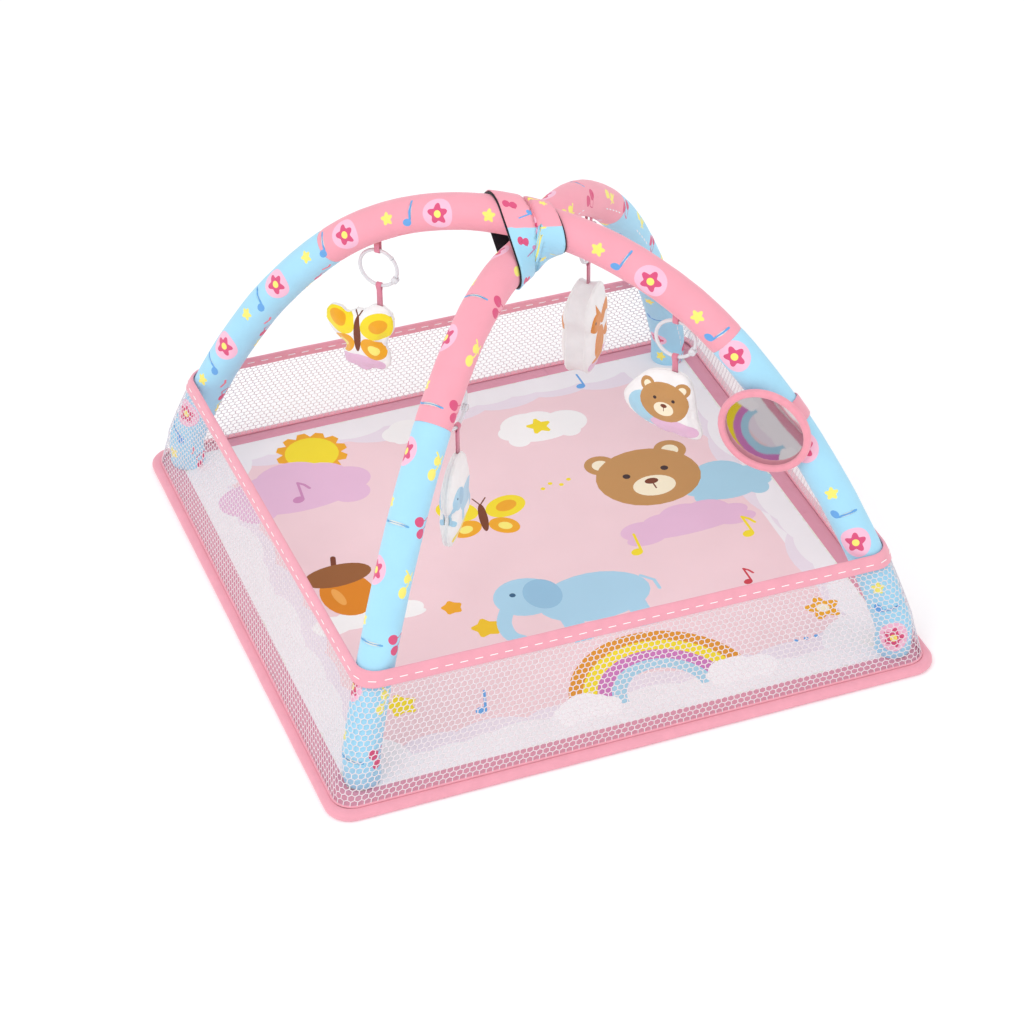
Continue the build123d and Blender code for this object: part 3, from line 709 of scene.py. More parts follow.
# arch, name, tile, phase, phase of the right sleeve, middle line in degrees
for arch, tag, tile, phase, right_phase, middle in (
    (ARCH_A, "arch_a", sleeve_tile_a(), -112.0, 180.0, 20.0),
    (ARCH_B, "arch_b", sleeve_tile_b(), -200.0, -200.0, 122.0),
):
    foot = arch.s_of_z(FOOT_Z)
    seam = arch.s_of_r(SEAM_R)
    for part, start, end, base, part_phase in (
        ("left", -foot, -seam - 0.1, BLUE, phase),
        ("middle", -seam + 0.1, seam - 0.1, PINK, phase),
        ("right", seam + 0.1, foot, BLUE, right_phase),
    ):
        sleeve(f"{tag}_sleeve_{part}", arch, tile, start, end, base, part_phase, middle)
    for part in ("left", "middle", "right"):
        finish_piece(f"{tag}_pole_{part}", POLE)
    finish_piece(f"{tag}_ferrules", ROD)
    finish_piece(f"{tag}_foam", FOAM)

# ------------------------------------------------------------------ mat
MAT_HALF, MAT_CORNER = 414.0, 24
PANEL_HALF, PANEL_CORNER = 387.0, 20  # quilted panel inside the plain edge
EDGE_WIDTH = MAT_HALF - PANEL_HALF


def rounded_square(half, radius, steps=8, spacing=40):
    """Rounded square, anticlockwise from the right end of the front edge."""
    pts = []
    for sx, sy, start in ((1, -1, -90), (1, 1, 0), (-1, 1, 90), (-1, -1, 180)):
        pts += arc(sx * (half - radius), sy * (half - radius), radius, start, start + 90, steps)
    out = []
    for p, q in zip(pts, pts[1:] + pts[:1]):
        k = max(1, int(math.hypot(q[0] - p[0], q[1] - p[1]) / spacing))
        out += [(p[0] + (q[0] - p[0]) * i / k, p[1] + (q[1] - p[1]) * i / k) for i in range(k)]
    return out


def outward(x, y, half, radius):
    """Outward direction at a point on a rounded square."""
    qx, qy = abs(x) - (half - radius), abs(y) - (half - radius)
    if qx <= 0 or qy <= 0:
        qx, qy = (1.0, 0.0) if qx > qy else (0.0, 1.0)
    k = math.hypot(qx, qy)
    return math.copysign(qx / k, x), math.copysign(qy / k, y)


def mat_z(x, y):
    """Height of the mat's top: puffed inside the panel, sloping down over the edge."""
    qx, qy = abs(x) - (PANEL_HALF - PANEL_CORNER), abs(y) - (PANEL_HALF - PANEL_CORNER)
    d = math.hypot(max(qx, 0), max(qy, 0)) + min(max(qx, qy), 0.0) - PANEL_CORNER
    groove = 1.2 * math.exp(-((d / 3.0) ** 2))
    if d < 0:
        puff = 1.5 * (1 - math.exp(d / 26.0)) - groove
        wave = noise.noise(Vector((x * 0.008, y * 0.008, 3.0))) * 1.3
        wave += noise.noise(Vector((x * 0.026, y * 0.026, 9.0))) * 0.35
        return 16.4 + puff + wave * min(1.0, -d / 40.0)
    t = min(d / EDGE_WIDTH, 1.0)
    lump = 1.0 + 0.25 * noise.noise(Vector((x * 0.03, y * 0.03, 1.0)))
    return 17.0 - 5.4 * t + 1.6 * math.sin(math.pi * t) * lump - groove


def scallops(draw, colour, start, end, size, inset, nudges, length, pitch, limit):
    """Ovals along the four sides. size and inset are (base, random part), nudges move the
    front, right and left rows, length and pitch are shares of an oval's size, and limit
    leaves out ovals near the corners."""
    out = []
    front, right, left = nudges
    for side in range(4):
        t = start
        while t < end:
            k = size[0] + size[1] * draw.random()
            off = inset[0] - inset[1] * draw.random()
            x, y = ((t, -off + front), (off + right, t), (t, off), (-off + left, t))[side]
            if abs(x) + abs(y) < limit:
                rot = 0 if side % 2 == 0 else 90
                out.append((oval(x, y, k * length, k * 0.72, rot, n=30), colour))
            t += k * pitch
    return out


def mat_shapes():
    draw = random.Random(3)
    # white ground and pale pink centre, edged by a faint and a white row of scallops
    o = [(rounded_square(PANEL_HALF, PANEL_CORNER), WHITE), (rounded_square(338, 60), MAT_PINK)]
    o += scallops(draw, FAINT_LILAC, start=-330.0, end=340, size=(46, 30), inset=(372, 8),
                  nudges=(8, 12, -2), length=1.08, pitch=1.35, limit=740)
    o += scallops(draw, WHITE, start=-350.0, end=360, size=(30, 24), inset=(378, 6),
                  nudges=(4, 6, 0), length=1.2, pitch=1.3, limit=math.inf)
    o += [(oval(sx * 352, sy * 352, 62, 60), WHITE) for sx in (-1, 1) for sy in (-1, 1)]
    # sun over a lilac cloud with a note
    o += moved(sun_print(), -206, 326, 0.95)
    o += cloud(-252, 244, 190, 120, LILAC, 2)
    o += note(-258, 226, 1.5, DEEP_LILAC, lean=0.1, flag=True)
    # small white clouds, one with a star
    o += cloud(-44, 322, 84, 56, rgb(247, 247, 246), 5)
    o += cloud(122, 262, 108, 78, CLOUD_WHITE, 4) + [(star(122, 268, 20), YELLOW)]
    o += note(216, 340, 1.2, NOTE_BLUE)
    # teddy head by a blue and a lilac cloud
    o += cloud(318, 40, 110, 90, SKY, 3) + cloud(232, -22, 190, 70, LILAC, 8)
    o += moved(bear_print(), 222, 96, 1.12)
    o += note(140, -60, 1.5, YELLOW, lean=0.1) + note(300, -78, 1.5, YELLOW, flag=True)
    # butterfly with a trail of dots
    o += moved(butterfly_print(), -30, 92, 1.15, -12)
    o += [(oval(72 + 14 * i, 128 + (4 if i % 2 else -4), 3.4), YELLOW) for i in range(4)]
    # acorn on a cloud, with two stars
    o += cloud(-250, -62, 150, 44, CLOUD_WHITE, 6) + moved(acorn_print(), -262, 18, 1.1)
    o += [(star(-140, -82, 16, 0.72), ORANGE), (star(-112, -140, 22, 0.66), GOLD)]
    o += moved(elephant_print(), 26, -112, 0.98)
    # rainbow with a small cloud at each foot
    o += rainbow(60, -352, 128, RAINBOW, 19)
    for x, seed in ((-48, 9), (168, 10)):
        o += cloud(x, -346, 84, 52, rgb(250, 248, 250), seed)
    # small pieces near the front
    o += note(256, -176, 1.1, RED, flag=True) + note(-178, -298, 1.4, NOTE_BLUE, lean=0.3)
    o += [(star(-272, -250, 24, 0.62), YELLOW), (petals(326, -266, 26), ORANGE)]
    o += [(oval(326, -266, 9), CREAM)]
    o += [(oval(262 + 15 * i, -318, 3.4), NOTE_BLUE) for i in range(3)]
    # the plain edge outside the panel, which covers what runs over
    edge = []
    for x, y in rounded_square(PANEL_HALF, PANEL_CORNER, 6, 60):
        nx, ny = outward(x, y, PANEL_HALF, PANEL_CORNER)
        edge.append(((x, y), (x + nx * 60, y + ny * 60)))
    for (p0, q0), (p1, q1) in zip(edge, edge[1:] + edge[:1]):
        o.append(([p0, q0, q1, p1], EDGE_PINK))
    return o


# section of the rolled rim: distance out from the mat's edge, height
RIM_PROFILE = [
    (0.0, 0.1), (5.0, 0.1), (8.6, 1.2), (10.4, 3.6), (10.9, 6.2), (10.4, 9.2), (8.6, 11.6),
    (5.4, 12.9), (1.6, 13.1), (-1.6, 13.1), (-3.2, 12.7), (-3.2, 11.2), (-1.2, 9.5), (-1.2, 2.0),
]


def mat_rim():
    rows = []
    for x, y in rounded_square(MAT_HALF, MAT_CORNER, 10, 12):
        nx, ny = outward(x, y, MAT_HALF, MAT_CORNER)
        wobble = 0.35 * noise.noise(Vector((x * 0.02, y * 0.02, 5.0)))
        row = []
        for out, z in RIM_PROFILE:
            out += wobble if out > 2 else 0
            row.append((x + nx * out, y + ny * out, z))
        rows.append(row)
    return build("mat_rim", [strip(rows, True, True)], TRIM)


mat_top = paint("mat_printed_top", rounded_square(MAT_HALF - 0.6, MAT_CORNER, 8, 7), EDGE_PINK,
                mat_shapes(), 7.5, lambda x, y: (x, y, mat_z(x, y)), MAT_PRINT)
fit(mat_top, "mat_top_sheet", "mat")
fit(mat_rim(), "mat_edge_binding", "mat")
finish_piece("mat_base_sheet", UNDERSIDE)
finish_piece("mat_padding", FOAM)
finish_piece("corner_pegs", WHITE_PLASTIC)

# ------------------------------------------------------------------ fence
FENCE_BEND = TUBE + 2.7  # radius of the fence's bend round each arch leg
FENCE_BASE, FENCE_TOP, BAND_HEIGHT = 13.9, 176.0, 19.6
BAND_BASE = FENCE_TOP - BAND_HEIGHT
BASE_CORNER = 384.8
NET_PITCH = 8.6
NET_ROW = NET_PITCH * 0.78
NET_ROWS = int(152.0 / NET_ROW)
NET_THREAD = 0.74


def corner_offset(arch, z, join_z):
    """How far out in x and y a fence corner lies: on the arch leg above join_z, and below it
    on a straight line down to the base."""
    if z <= FENCE_BASE:
        return BASE_CORNER
    (r, _), (_, tz) = arch.at(arch.s_of_z(max(z, join_z)))
    leg = (r + TUBE / abs(tz) - TUBE) * DIAGONAL
    if z >= join_z:
        return leg
    return BASE_CORNER + (z - FENCE_BASE) / (join_z - FENCE_BASE) * (leg - BASE_CORNER)


@lru_cache(maxsize=None)
def wall_plan(k, z):
    """Bend centres of wall k at height z, and the angles where its first bend starts, where
    the straight part faces and where its last bend ends."""
    a, b = corner_offset(ARCH_A, z, 60.0), corner_offset(ARCH_B, z, 131.0)
    corners = [(-b, -b), (a, -a), (b, b), (-a, a)]
    c0, c1 = corners[k], corners[(k + 1) % 4]
    dx, dy = c1[0] - c0[0], c1[1] - c0[1]
    n = math.hypot(dx, dy)
    face = math.atan2(-dx / n, dy / n)
    first, last = math.atan2(c0[1], c0[0]), math.atan2(c1[1], c1[0])
    while first > face:
        first -= 2 * math.pi
    while face - first > math.pi:
        first += 2 * math.pi
    while last < face:
        last += 2 * math.pi
    while last - face > math.pi:
        last -= 2 * math.pi
    return c0, c1, face, first, last


def wall_length(k, z):
    c0, c1, _, first, last = wall_plan(k, z)
    return FENCE_BEND * (last - first) + math.hypot(c1[0] - c0[0], c1[1] - c0[1])


def wall_point(k, t, z, off):
    """Point on wall k: t runs from 0 to 1 along it with its bends, off is outwards."""
    c0, c1, face, first, last = wall_plan(k, z)
    radius = FENCE_BEND + off
    bend0, bend1 = (face - first) * FENCE_BEND, (last - face) * FENCE_BEND
    straight = math.hypot(c1[0] - c0[0], c1[1] - c0[1])
    s = t * (bend0 + straight + bend1)
    if s < bend0:
        (cx, cy), a = c0, first + (face - first) * s / bend0
    elif s < bend0 + straight:
        q = (s - bend0) / straight
        cx, cy = c0[0] + (c1[0] - c0[0]) * q, c0[1] + (c1[1] - c0[1]) * q
        a = face
    else:
        (cx, cy), a = c1, face + (last - face) * (s - bend0 - straight) / bend1
    return cx + radius * math.cos(a), cy + radius * math.sin(a)


def net_wall(k, side):
    """Honeycomb net: zigzag rows joined by upright threads, each a four-sided bar."""
    low, high = FENCE_BASE - 0.4, BAND_BASE + 1.0
    cells = int(wall_length(k, 90.0) / NET_PITCH)
    facing = wall_plan(k, 90.0)[2]

    @lru_cache(maxsize=None)
    def knot(i, j):
        """Knot at half cell i of row j."""
        t = i / (2.0 * cells)
        up = j * NET_ROW + (NET_ROW * 0.30 if (i + j) % 2 == 0 else 0.0)
        z = low + (high - low) * min(up / (NET_ROWS * NET_ROW), 1.0)
        x, y = wall_point(k, t, z, 0.0)
        wave = 0.8 * noise.noise(Vector((x * 0.012, y * 0.012, z * 0.02)))
        fade = 1.0 - abs(2 * t - 1) ** 6
        return Vector((*wall_point(k, t, z, wave * fade), z))

    edges = []
    for j in range(NET_ROWS + 1):
        edges += [(knot(i, j), knot(i + 1, j)) for i in range(2 * cells)]
        if j < NET_ROWS:
            edges += [(knot(i, j), knot(i, j + 1))
                      for i in range(2 * cells + 1) if (i + j) % 2 == 0]
    verts, faces = [], []
    wall_normal = Vector((math.cos(facing), math.sin(facing), 0.28)).normalized()
    for p, q in edges:
        d = (q - p).normalized()
        mid = (p + q) / 2
        normal = wall_normal
        # near the corners the outward direction turns with the wall
        if abs(abs(mid.x) - abs(mid.y)) < 60:
            normal = (wall_normal + Vector((mid.x, mid.y, 0)).normalized()).normalized()
        across = d.cross(normal).normalized() * NET_THREAD
        lift = normal * 0.42
        tip = d * 0.35
        b = len(verts)
        for end in (p - tip, q + tip):
            verts += [end + across * 0.9, end + lift, end - across * 0.9, end - lift]
        faces += [(b + i, b + (i + 1) % 4, b + 4 + (i + 1) % 4, b + 4 + i) for i in range(4)]
    data = bpy.data.meshes.new(f"net_{side}")
    data.from_pydata([v * MM for v in verts], [], faces)
    data.materials.append(NET)
    shade_smooth(data)
    ob = add_object(f"net_{side}", data)
    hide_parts(f"fence_mesh_{side}")
    return ob


def wall_rows(profile, wobble=0.0, plan_z=None):
    """A section of (outwards, height) carried round all four walls, on the plan at plan_z or
    at each point's own height."""
    rows = []
    for k in range(4):
        for i in range(90):
            row = []
            for off, z in profile:
                x, y = wall_point(k, i / 90, z if plan_z is None else plan_z, off)
                wave = wobble * noise.noise(Vector((x * 0.02, y * 0.02, 2.0)))
                row.append((x, y, z + wave))
            rows.append(row)
    return rows


# top band, folded over the net's edge: outwards, height
BAND_PROFILE = [
    (2.2, BAND_BASE + 0.2), (3.0, BAND_BASE + 1.2), (3.1, BAND_BASE + 4),
    (2.9, BAND_BASE + 5.0), (3.25, BAND_BASE + 7), (3.3, BAND_BASE + 13),
    (3.1, FENCE_TOP - 3.0), (2.4, FENCE_TOP - 1.0), (0.9, FENCE_TOP), (-0.6, FENCE_TOP - 0.4),
    (-1.6, FENCE_TOP - 2.0), (-1.75, FENCE_TOP - 6), (-1.75, BAND_BASE + 4),
    (-1.6, BAND_BASE + 1.0), (-1.0, BAND_BASE + 0.2),
]
# hem round the net's foot: outwards, height
HEM_PROFILE = [
    (1.3, FENCE_BASE - 0.3), (1.6, FENCE_BASE + 0.7), (0.8, FENCE_BASE + 1.6),
    (-1.0, FENCE_BASE + 1.7), (-2.2, FENCE_BASE + 0.7), (-2.0, FENCE_BASE - 0.3),
]
# one stitch: place along it and thickness, as shares of the whole
STITCH_PROFILE = [
    (-0.5, 0.25), (-0.47, 0.7), (-0.40, 1.0), (0.0, 1.0), (0.40, 1.0), (0.47, 0.7), (0.5, 0.25),
]
STITCH_LENGTH, STITCH_HALF_WIDTH, STITCH_HEIGHT, STITCH_PITCH = 11.0, 0.85, 0.6, 19.5


def stitch(p, d, normal):
    """A flattened, rounded bead along d."""
    side = d.cross(normal).normalized()
    rows = []
    for u, k in STITCH_PROFILE:
        c = p + d * (u * STITCH_LENGTH)
        rows.append([c + side * (STITCH_HALF_WIDTH * k * math.cos(a))
                     + normal * (STITCH_HEIGHT * k * math.sin(a)) for a in turns(6)])
    return capped(rows)


def fence_stitches():
    """A dashed line round the band's outer face and another round its inner one."""
    parts = []
    for off, z in ((3.35, BAND_BASE + 9.0), (-1.85, BAND_BASE + 10.0)):
        for k in range(4):
            n = int(wall_length(k, z) / STITCH_PITCH)
            for i in range(n):
                t = (i + 0.5) / n
                before, p, after = (
                    Vector((*wall_point(k, t + dt, z, off), z)) for dt in (-0.004, 0.0, 0.004)
                )
                d = (after - before).normalized()
                parts.append(stitch(p, d, Vector((d.y, -d.x, 0)) * (1 if off > 0 else -1)))
    return build("fence_stitches", parts, THREAD)


fence = [net_wall(k, side) for k, side in enumerate(("front", "right", "back", "left"))]
band = build("fence_band", [strip(wall_rows(BAND_PROFILE, wobble=0.5), True, True)], TRIM)
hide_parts("fence_top_band")
fence += [band, fence_stitches()]
hem = build("fence_hem", [strip(wall_rows(HEM_PROFILE, plan_z=FENCE_BASE), True, True)], TRIM)
fit(hem, "fence_base_hem", "mat")
for ob in fence:
    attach(ob, "mat")
    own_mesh(ob)

# ------------------------------------------------------------------ hub wrap where arches cross
HUB_HALF = 30  # half its length along X
HUB_STEP = 7.5
HUB_MID_Z = 530.0
HUB_GIRTH = 300.0  # print length round the wrap


def tube_cut(arch, x):
    """(y, z) points where a plane at x cuts an arch's tube."""
    out = []
    for i in range(64):
        degrees = 360.0 * i / 64
        low, high = -170.0, 170.0
        for _ in range(30):
            mid = (low + high) / 2
            if arch.surface(mid, degrees, TUBE).x > x:
                high = mid
            else:
                low = mid
        p = arch.surface(low, degrees, TUBE)
        out.append((p.y, p.z))
    return out


def hub_ring(x, off, n=72):
    """Evenly spaced (y, z) outline round both tubes at x, off outside them."""
    cuts = tube_cut(ARCH_A, x) + tube_cut(ARCH_B, x)
    pts = []
    for a in turns(n):
        uy, uz = math.cos(a), math.sin(a)
        y, z = max(cuts, key=lambda c: c[0] * uy + c[1] * uz)
        pts.append((y + off * uy, z + off * uz))
    lengths = [0.0]
    for p, q in zip(pts, pts[1:] + pts[:1]):
        lengths.append(lengths[-1] + math.hypot(q[0] - p[0], q[1] - p[1]))
    even = []
    j = 0
    for i in range(n):
        d = lengths[-1] * i / n
        while lengths[j + 1] < d:
            j += 1
        t = (d - lengths[j]) / max(lengths[j + 1] - lengths[j], 1e-9)
        p, q = pts[j], pts[(j + 1) % n]
        even.append((p[0] + t * (q[0] - p[0]), p[1] + t * (q[1] - p[1])))
    return even


HUB_RINGS = [hub_ring(-HUB_HALF + HUB_STEP * i, 4.4) for i in range(9)]


def hub_place(u, v):
    """Point on the wrap: u is x and v runs from 0 to 1 round it."""
    i = min(int((u + HUB_HALF) / HUB_STEP), 7)
    t = (u + HUB_HALF) / HUB_STEP - i
    count = len(HUB_RINGS[0])
    w = (v % 1.0) * count
    j = int(w) % count
    s = w - int(w)

    def on(ring):
        a, b = ring[j], ring[(j + 1) % count]
        return a[0] + s * (b[0] - a[0]), a[1] + s * (b[1] - a[1])

    p, q = on(HUB_RINGS[i]), on(HUB_RINGS[i + 1])
    y, z = p[0] + t * (q[0] - p[0]), p[1] + t * (q[1] - p[1])
    wave = 0.7 * noise.noise(Vector((u * 0.05, y * 0.03, z * 0.03)))
    k = math.hypot(y, z - HUB_MID_Z)
    return u, y + (y / k) * wave, z + ((z - HUB_MID_Z) / k) * wave


def hub_shapes():
    """Blue below a sloping plane, pink above it, and small scattered pieces."""
    low_side, high_side = [], []
    for i in range(15):
        u = -35 + 5.0 * i
        below = []
        for j in range(300):
            x, y, z = hub_place(min(max(u, -29.9), 29.9), j / 300.0)
            if 0.2209 * x + 0.5595 * y + 0.7989 * z < 431.0 and j / 300.0 > 0.3:
                below.append(j / 300.0)
        low_side.append((u, min(below) * HUB_GIRTH))
        high_side.append((u, min(max(below), 0.93) * HUB_GIRTH))
    o = [(low_side + high_side[::-1], BLUE)]
    draw = random.Random(5)
    for i in range(26):
        x, y = -24 + 48 * draw.random(), HUB_GIRTH * (i + 0.5) / 26
        kind = i % 4
        if kind == 0:
            o += [(petals(x, y, 5), PALE_YELLOW)]
        elif kind == 1:
            o += [(oval(x, y, 4, 5), MAGENTA), (oval(x + 7, y + 3, 4, 5), MAGENTA)]
            o += stroke([(x, y + 2), (x + 8, y + 8)], 1.4, MAGENTA)
        elif kind == 2:
            colour = NOTE_BLUE if draw.random() > 0.5 else DEEP_LILAC
            o += moved(note(0, 0, 0.55, colour, 0.1), x, y, 1.0, 70)
        else:
            o += stroke([(x, y), (x + 6, y + 4), (x + 10, y + 2)], 1.8, PALE_YELLOW)
    return o


def hub_wrap():
    border = [(-HUB_HALF + 60 * i / 12, 0.0) for i in range(12)]
    border += [(HUB_HALF, HUB_GIRTH * i / 60) for i in range(60)]
    border += [(HUB_HALF - 60 * i / 12, HUB_GIRTH) for i in range(12)]
    border += [(-HUB_HALF, HUB_GIRTH - HUB_GIRTH * i / 60) for i in range(60)]
    ob = paint("hub_printed_wrap", border, PINK, hub_shapes(), 4.0,
               lambda u, v: hub_place(u, v / HUB_GIRTH), SLEEVE)
    weld(ob, 0.00003)
    thick = ob.modifiers.new("thick", "SOLIDIFY")
    thick.thickness = 1.3 * MM
    thick.offset = -1
    return ob


def hub_lining():
    """Thin sleeve inside the wrap, showing a little at each end."""
    xs = [-31.6, -30, -20, -10, 0, 10, 20, 30, 31.6]
    outer = [[(x, y, z) for y, z in hub_ring(x, 3.0)] for x in xs]
    inner = [[(x, y, z) for y, z in hub_ring(x, 1.4)] for x in xs]
    return build("hub_hook_lining", [strip(outer + inner[::-1], True, True)], HOOK_TAPE)


fit(hub_wrap(), "hub_wrap", "arch_frame")
fit(hub_lining(), "hub_lining", "arch_frame")


# ------------------------------------------------------------------ hanging rings and ribbons
class Plane:
    """Local axes: x and y in the plane, z out of it."""

    def __init__(self, origin, x_axis, y_axis, z_axis):
        self.origin, self.x, self.y, self.z = origin, x_axis, y_axis, z_axis

    def at(self, x, y, z=0.0):
        return self.origin + self.x * x + self.y * y + self.z * z


def hanging_plane(arch, r, z, yaw=0.0):
    """Upright plane under an arch: x along it, y up, z across it and towards the front."""
    turn = Matrix.Rotation(math.radians(yaw), 3, "Z")
    up = Vector((0, 0, 1))
    return Plane(arch.along * r + Vector((0, 0, z)), turn @ arch.along, up, turn @ arch.across)


TOY_R = 213.0
RING_RADIUS = 27.5
JOINT_ANGLE = -30
TAPE_WIDTH, TAPE_THICK, TAPE_FOLD = 8.0, 1.2, 3.5


def wire(plane, start, end, thick):
    """Round bar of radius thick along the ring, between two angles in degrees."""
    n = max(3, int(abs(end - start) / 5))
    rows = []
    for i in range(n + 1):
        a = math.radians(start + (end - start) * i / n)
        rows.append([
            plane.at((RING_RADIUS + thick * math.cos(b)) * math.cos(a),
                     (RING_RADIUS + thick * math.cos(b)) * math.sin(a), thick * math.sin(b))
            for b in turns(12)
        ])
    return capped(rows)


def joint_disc(plane, z0, z1, radius, bevel=0.35):
    """Bevelled disc on the ring's joint, from z0 to z1."""
    x = RING_RADIUS * math.cos(math.radians(JOINT_ANGLE))
    y = RING_RADIUS * math.sin(math.radians(JOINT_ANGLE))
    profile = [(0.0, z0), (radius - bevel, z0), (radius, z0 + bevel), (radius, z1 - bevel),
               (radius - bevel, z1), (0.0, z1)]
    rows = [[plane.at(x + rad * math.cos(a), y + rad * math.sin(a), z) for a in turns(28)]
            for rad, z in profile]
    return strip(rows, False, True)


def tape(plane, pts):
    """Webbing with rounded edges along a path of (across, up) points."""
    w, h = TAPE_WIDTH / 2, TAPE_THICK / 2
    section = [(-w, 0.0), (-w + 0.5, h), (-w / 3, h * 1.1), (w / 3, h * 1.1), (w - 0.5, h),
               (w, 0.0), (w - 0.5, -h), (w / 3, -h * 1.1), (-w / 3, -h * 1.1), (-w + 0.5, -h)]
    rows = []
    for i, (across, up) in enumerate(pts):
        p0, p1 = pts[max(i - 1, 0)], pts[min(i + 1, len(pts) - 1)]
        dx, dy = p1[0] - p0[0], p1[1] - p0[1]
        k = math.hypot(dx, dy)
        nx, ny = -dy / k, dx / k
        rows.append([plane.at(sx, up + ny * sy, across + nx * sy) for sx, sy in section])
    return capped(rows)


# ------------------------------------------------------------------ toys
class Toy:
    """A flat stuffed toy. side is the arch half it hangs from, yaw its turn in degrees, drop
    the ribbon's length and across its middle's place along the arch from the ribbon. gusset
    is the side panel's share of the thickness and side_bulge how far that panel swells.
    points are (along, up) round the toy's middle."""

    def __init__(self, arch, side, yaw, drop, across, half_height, thick, art, points,
                 gusset=0.22, side_bulge=0.6, stretch=1.0):
        self.arch, self.r, self.yaw, self.drop = arch, side * TOY_R, yaw, drop
        self.across, self.middle_y = across, -(drop + half_height) + 1.0
        self.half, self.gusset, self.side_bulge = thick / 2, gusset, side_bulge
        self.art, self.points, self.stretch = art, points, stretch

    def outline(self, n):
        return [(x, y * self.stretch) for x, y in smooth_closed(self.points, n)]

    def dome(self, dist):
        """Half thickness at a distance inside the seam, before creases."""
        t = min(dist / 24.0, 1.0)
        bulge = math.sqrt(max(0.0, 1 - (1 - t) ** 2))
        return self.half * self.gusset + self.half * (1 - self.gusset) * bulge

    def hang(self, ribbon_z):
        self.plane = hanging_plane(self.arch, self.r, ribbon_z, self.yaw)

    def at(self, u, v, z):
        return self.plane.at(self.across + u, self.middle_y + v, z)


TOYS = {
    "mouse": Toy(
        ARCH_A, side=-1, yaw=0.0, drop=32.0, across=-30.0, half_height=55.0, thick=19.0,
        art=[(oval(4, -40, 34, 14), LILAC)] + moved(butterfly_print(), 0, 6, 0.98),
        points=[
            (-4, 40), (8, 42), (22, 53), (38, 52), (49, 38), (49, 18), (40, 2), (38, -10),
            (42, -20), (42, -38), (34, -48), (18, -50), (8, -57), (-8, -52), (-22, -48),
            (-26, -34), (-22, -20), (-36, -8), (-48, 8), (-50, 26), (-42, 38), (-28, 38),
            (-18, 32),
        ],
    ),
    "bear": Toy(
        ARCH_A, side=1, yaw=0.0, drop=25.0, across=-14.0, half_height=50.0, thick=21.0,
        art=[(oval(-14, -10, 34, 26, -20), SKY), (oval(18, -32, 34, 14, -6), LILAC)]
        + moved(bear_print(), 4, 6, 0.5),
        points=[
            (-6, 49), (12, 51), (30, 46), (40, 30), (44, 8), (47, -14), (54, -38), (46, -48),
            (20, -46), (-6, -42), (-32, -32), (-50, -18), (-56, 0), (-46, 18), (-32, 34),
            (-20, 44),
        ],
    ),
    "squirrel": Toy(
        ARCH_B, side=1, yaw=6.0, drop=34.0, across=-18.0, half_height=64.0, thick=42.0,
        art=[(oval(0, -46, 36, 14), LILAC)] + moved(squirrel_print(), -2, 6, 0.98),
        points=[
            (-12, 63), (10, 63), (30, 58), (44, 42), (47, 20), (43, -4), (49, -26), (40, -48),
            (20, -61), (-6, -64), (-30, -57), (-44, -38), (-45, -12), (-41, 12), (-45, 34),
            (-32, 55),
        ],
        gusset=0.62, side_bulge=1.6,
    ),
    "elephant": Toy(
        ARCH_B, side=-1, yaw=10.0, drop=38.0, across=-20.0, half_height=60.0, thick=19.0,
        art=[(oval(0, -42, 40, 12), YELLOW)] + moved(elephant_print(), 2, 8, 0.36),
        points=[
            (-8, 63), (12, 62), (30, 54), (45, 36), (46, 14), (38, -4), (47, -22), (49, -42),
            (36, -57), (10, -63), (-20, -62), (-42, -54), (-49, -34), (-40, -10), (-46, 10),
            (-44, 34), (-30, 54),
        ],
        stretch=60.0 / 64.0,
    ),
}
CLOTH_FRAMES = 20
MAX_PUFF = 0.0035  # metres


def closed_shape(toy):
    """The toy as a closed solid of shrunken outlines."""
    outline = toy.outline(90)
    layers = [(k, toy.dome((1 - k) * 44.0)) for k in (0.03, 0.3, 0.55, 0.72, 0.85, 0.94, 1.0)]
    layers = [(k, -z) for k, z in layers] + layers[::-1]
    return capped([[(x * k, y * k, z) for x, y in outline] for k, z in layers])


def puff_up(shapes):
    """Cloth blown up from inside: a settled, slightly creased surface for each shape."""
    made = []
    for name, (verts, faces) in shapes.items():
        data = bpy.data.meshes.new(f"blown_{name}")
        data.from_pydata([Vector(v) * MM for v in verts], [], faces)
        ob = add_object(f"blown_{name}", data)
        even = ob.modifiers.new("even", "REMESH")
        even.mode = "VOXEL"
        even.voxel_size = 0.005
        made.append(ob)
    graph = bpy.context.evaluated_depsgraph_get()
    for ob in made:
        data = bpy.data.meshes.new_from_object(ob.evaluated_get(graph))
        ob.modifiers.clear()
        ob.data = data
        cloth = ob.modifiers.new("cloth", "CLOTH")
        settings = cloth.settings
        settings.quality = 5
        settings.mass = 0.12
        settings.tension_stiffness = 12.0
        settings.compression_stiffness = 8.0
        settings.shear_stiffness = 5.0
        settings.bending_stiffness = 0.35
        settings.use_pressure = True
        settings.uniform_pressure_force = 4.0
        settings.effector_weights.gravity = 0.0
        cloth.point_cache.frame_start = 1
        cloth.point_cache.frame_end = CLOTH_FRAMES
    scene = bpy.context.scene
    scene.frame_start, scene.frame_end = 1, CLOTH_FRAMES
    for k in range(1, CLOTH_FRAMES + 1):
        scene.frame_set(k)
        bpy.context.view_layer.update()
    graph = bpy.context.evaluated_depsgraph_get()
    trees = {}
    for name, ob in zip(shapes, made):
        blown = bpy.data.meshes.new_from_object(ob.evaluated_get(graph))
        pts = []
        for before, after in zip(ob.data.vertices, blown.vertices):
            d = after.co - before.co
            if d.length > MAX_PUFF:
                d = d.normalized() * MAX_PUFF
            pts.append(before.co + d)
        trees[name] = BVHTree.FromPolygons(pts, [tuple(q.vertices) for q in blown.polygons])
        bpy.data.objects.remove(ob)
    scene.frame_set(1)
    return trees


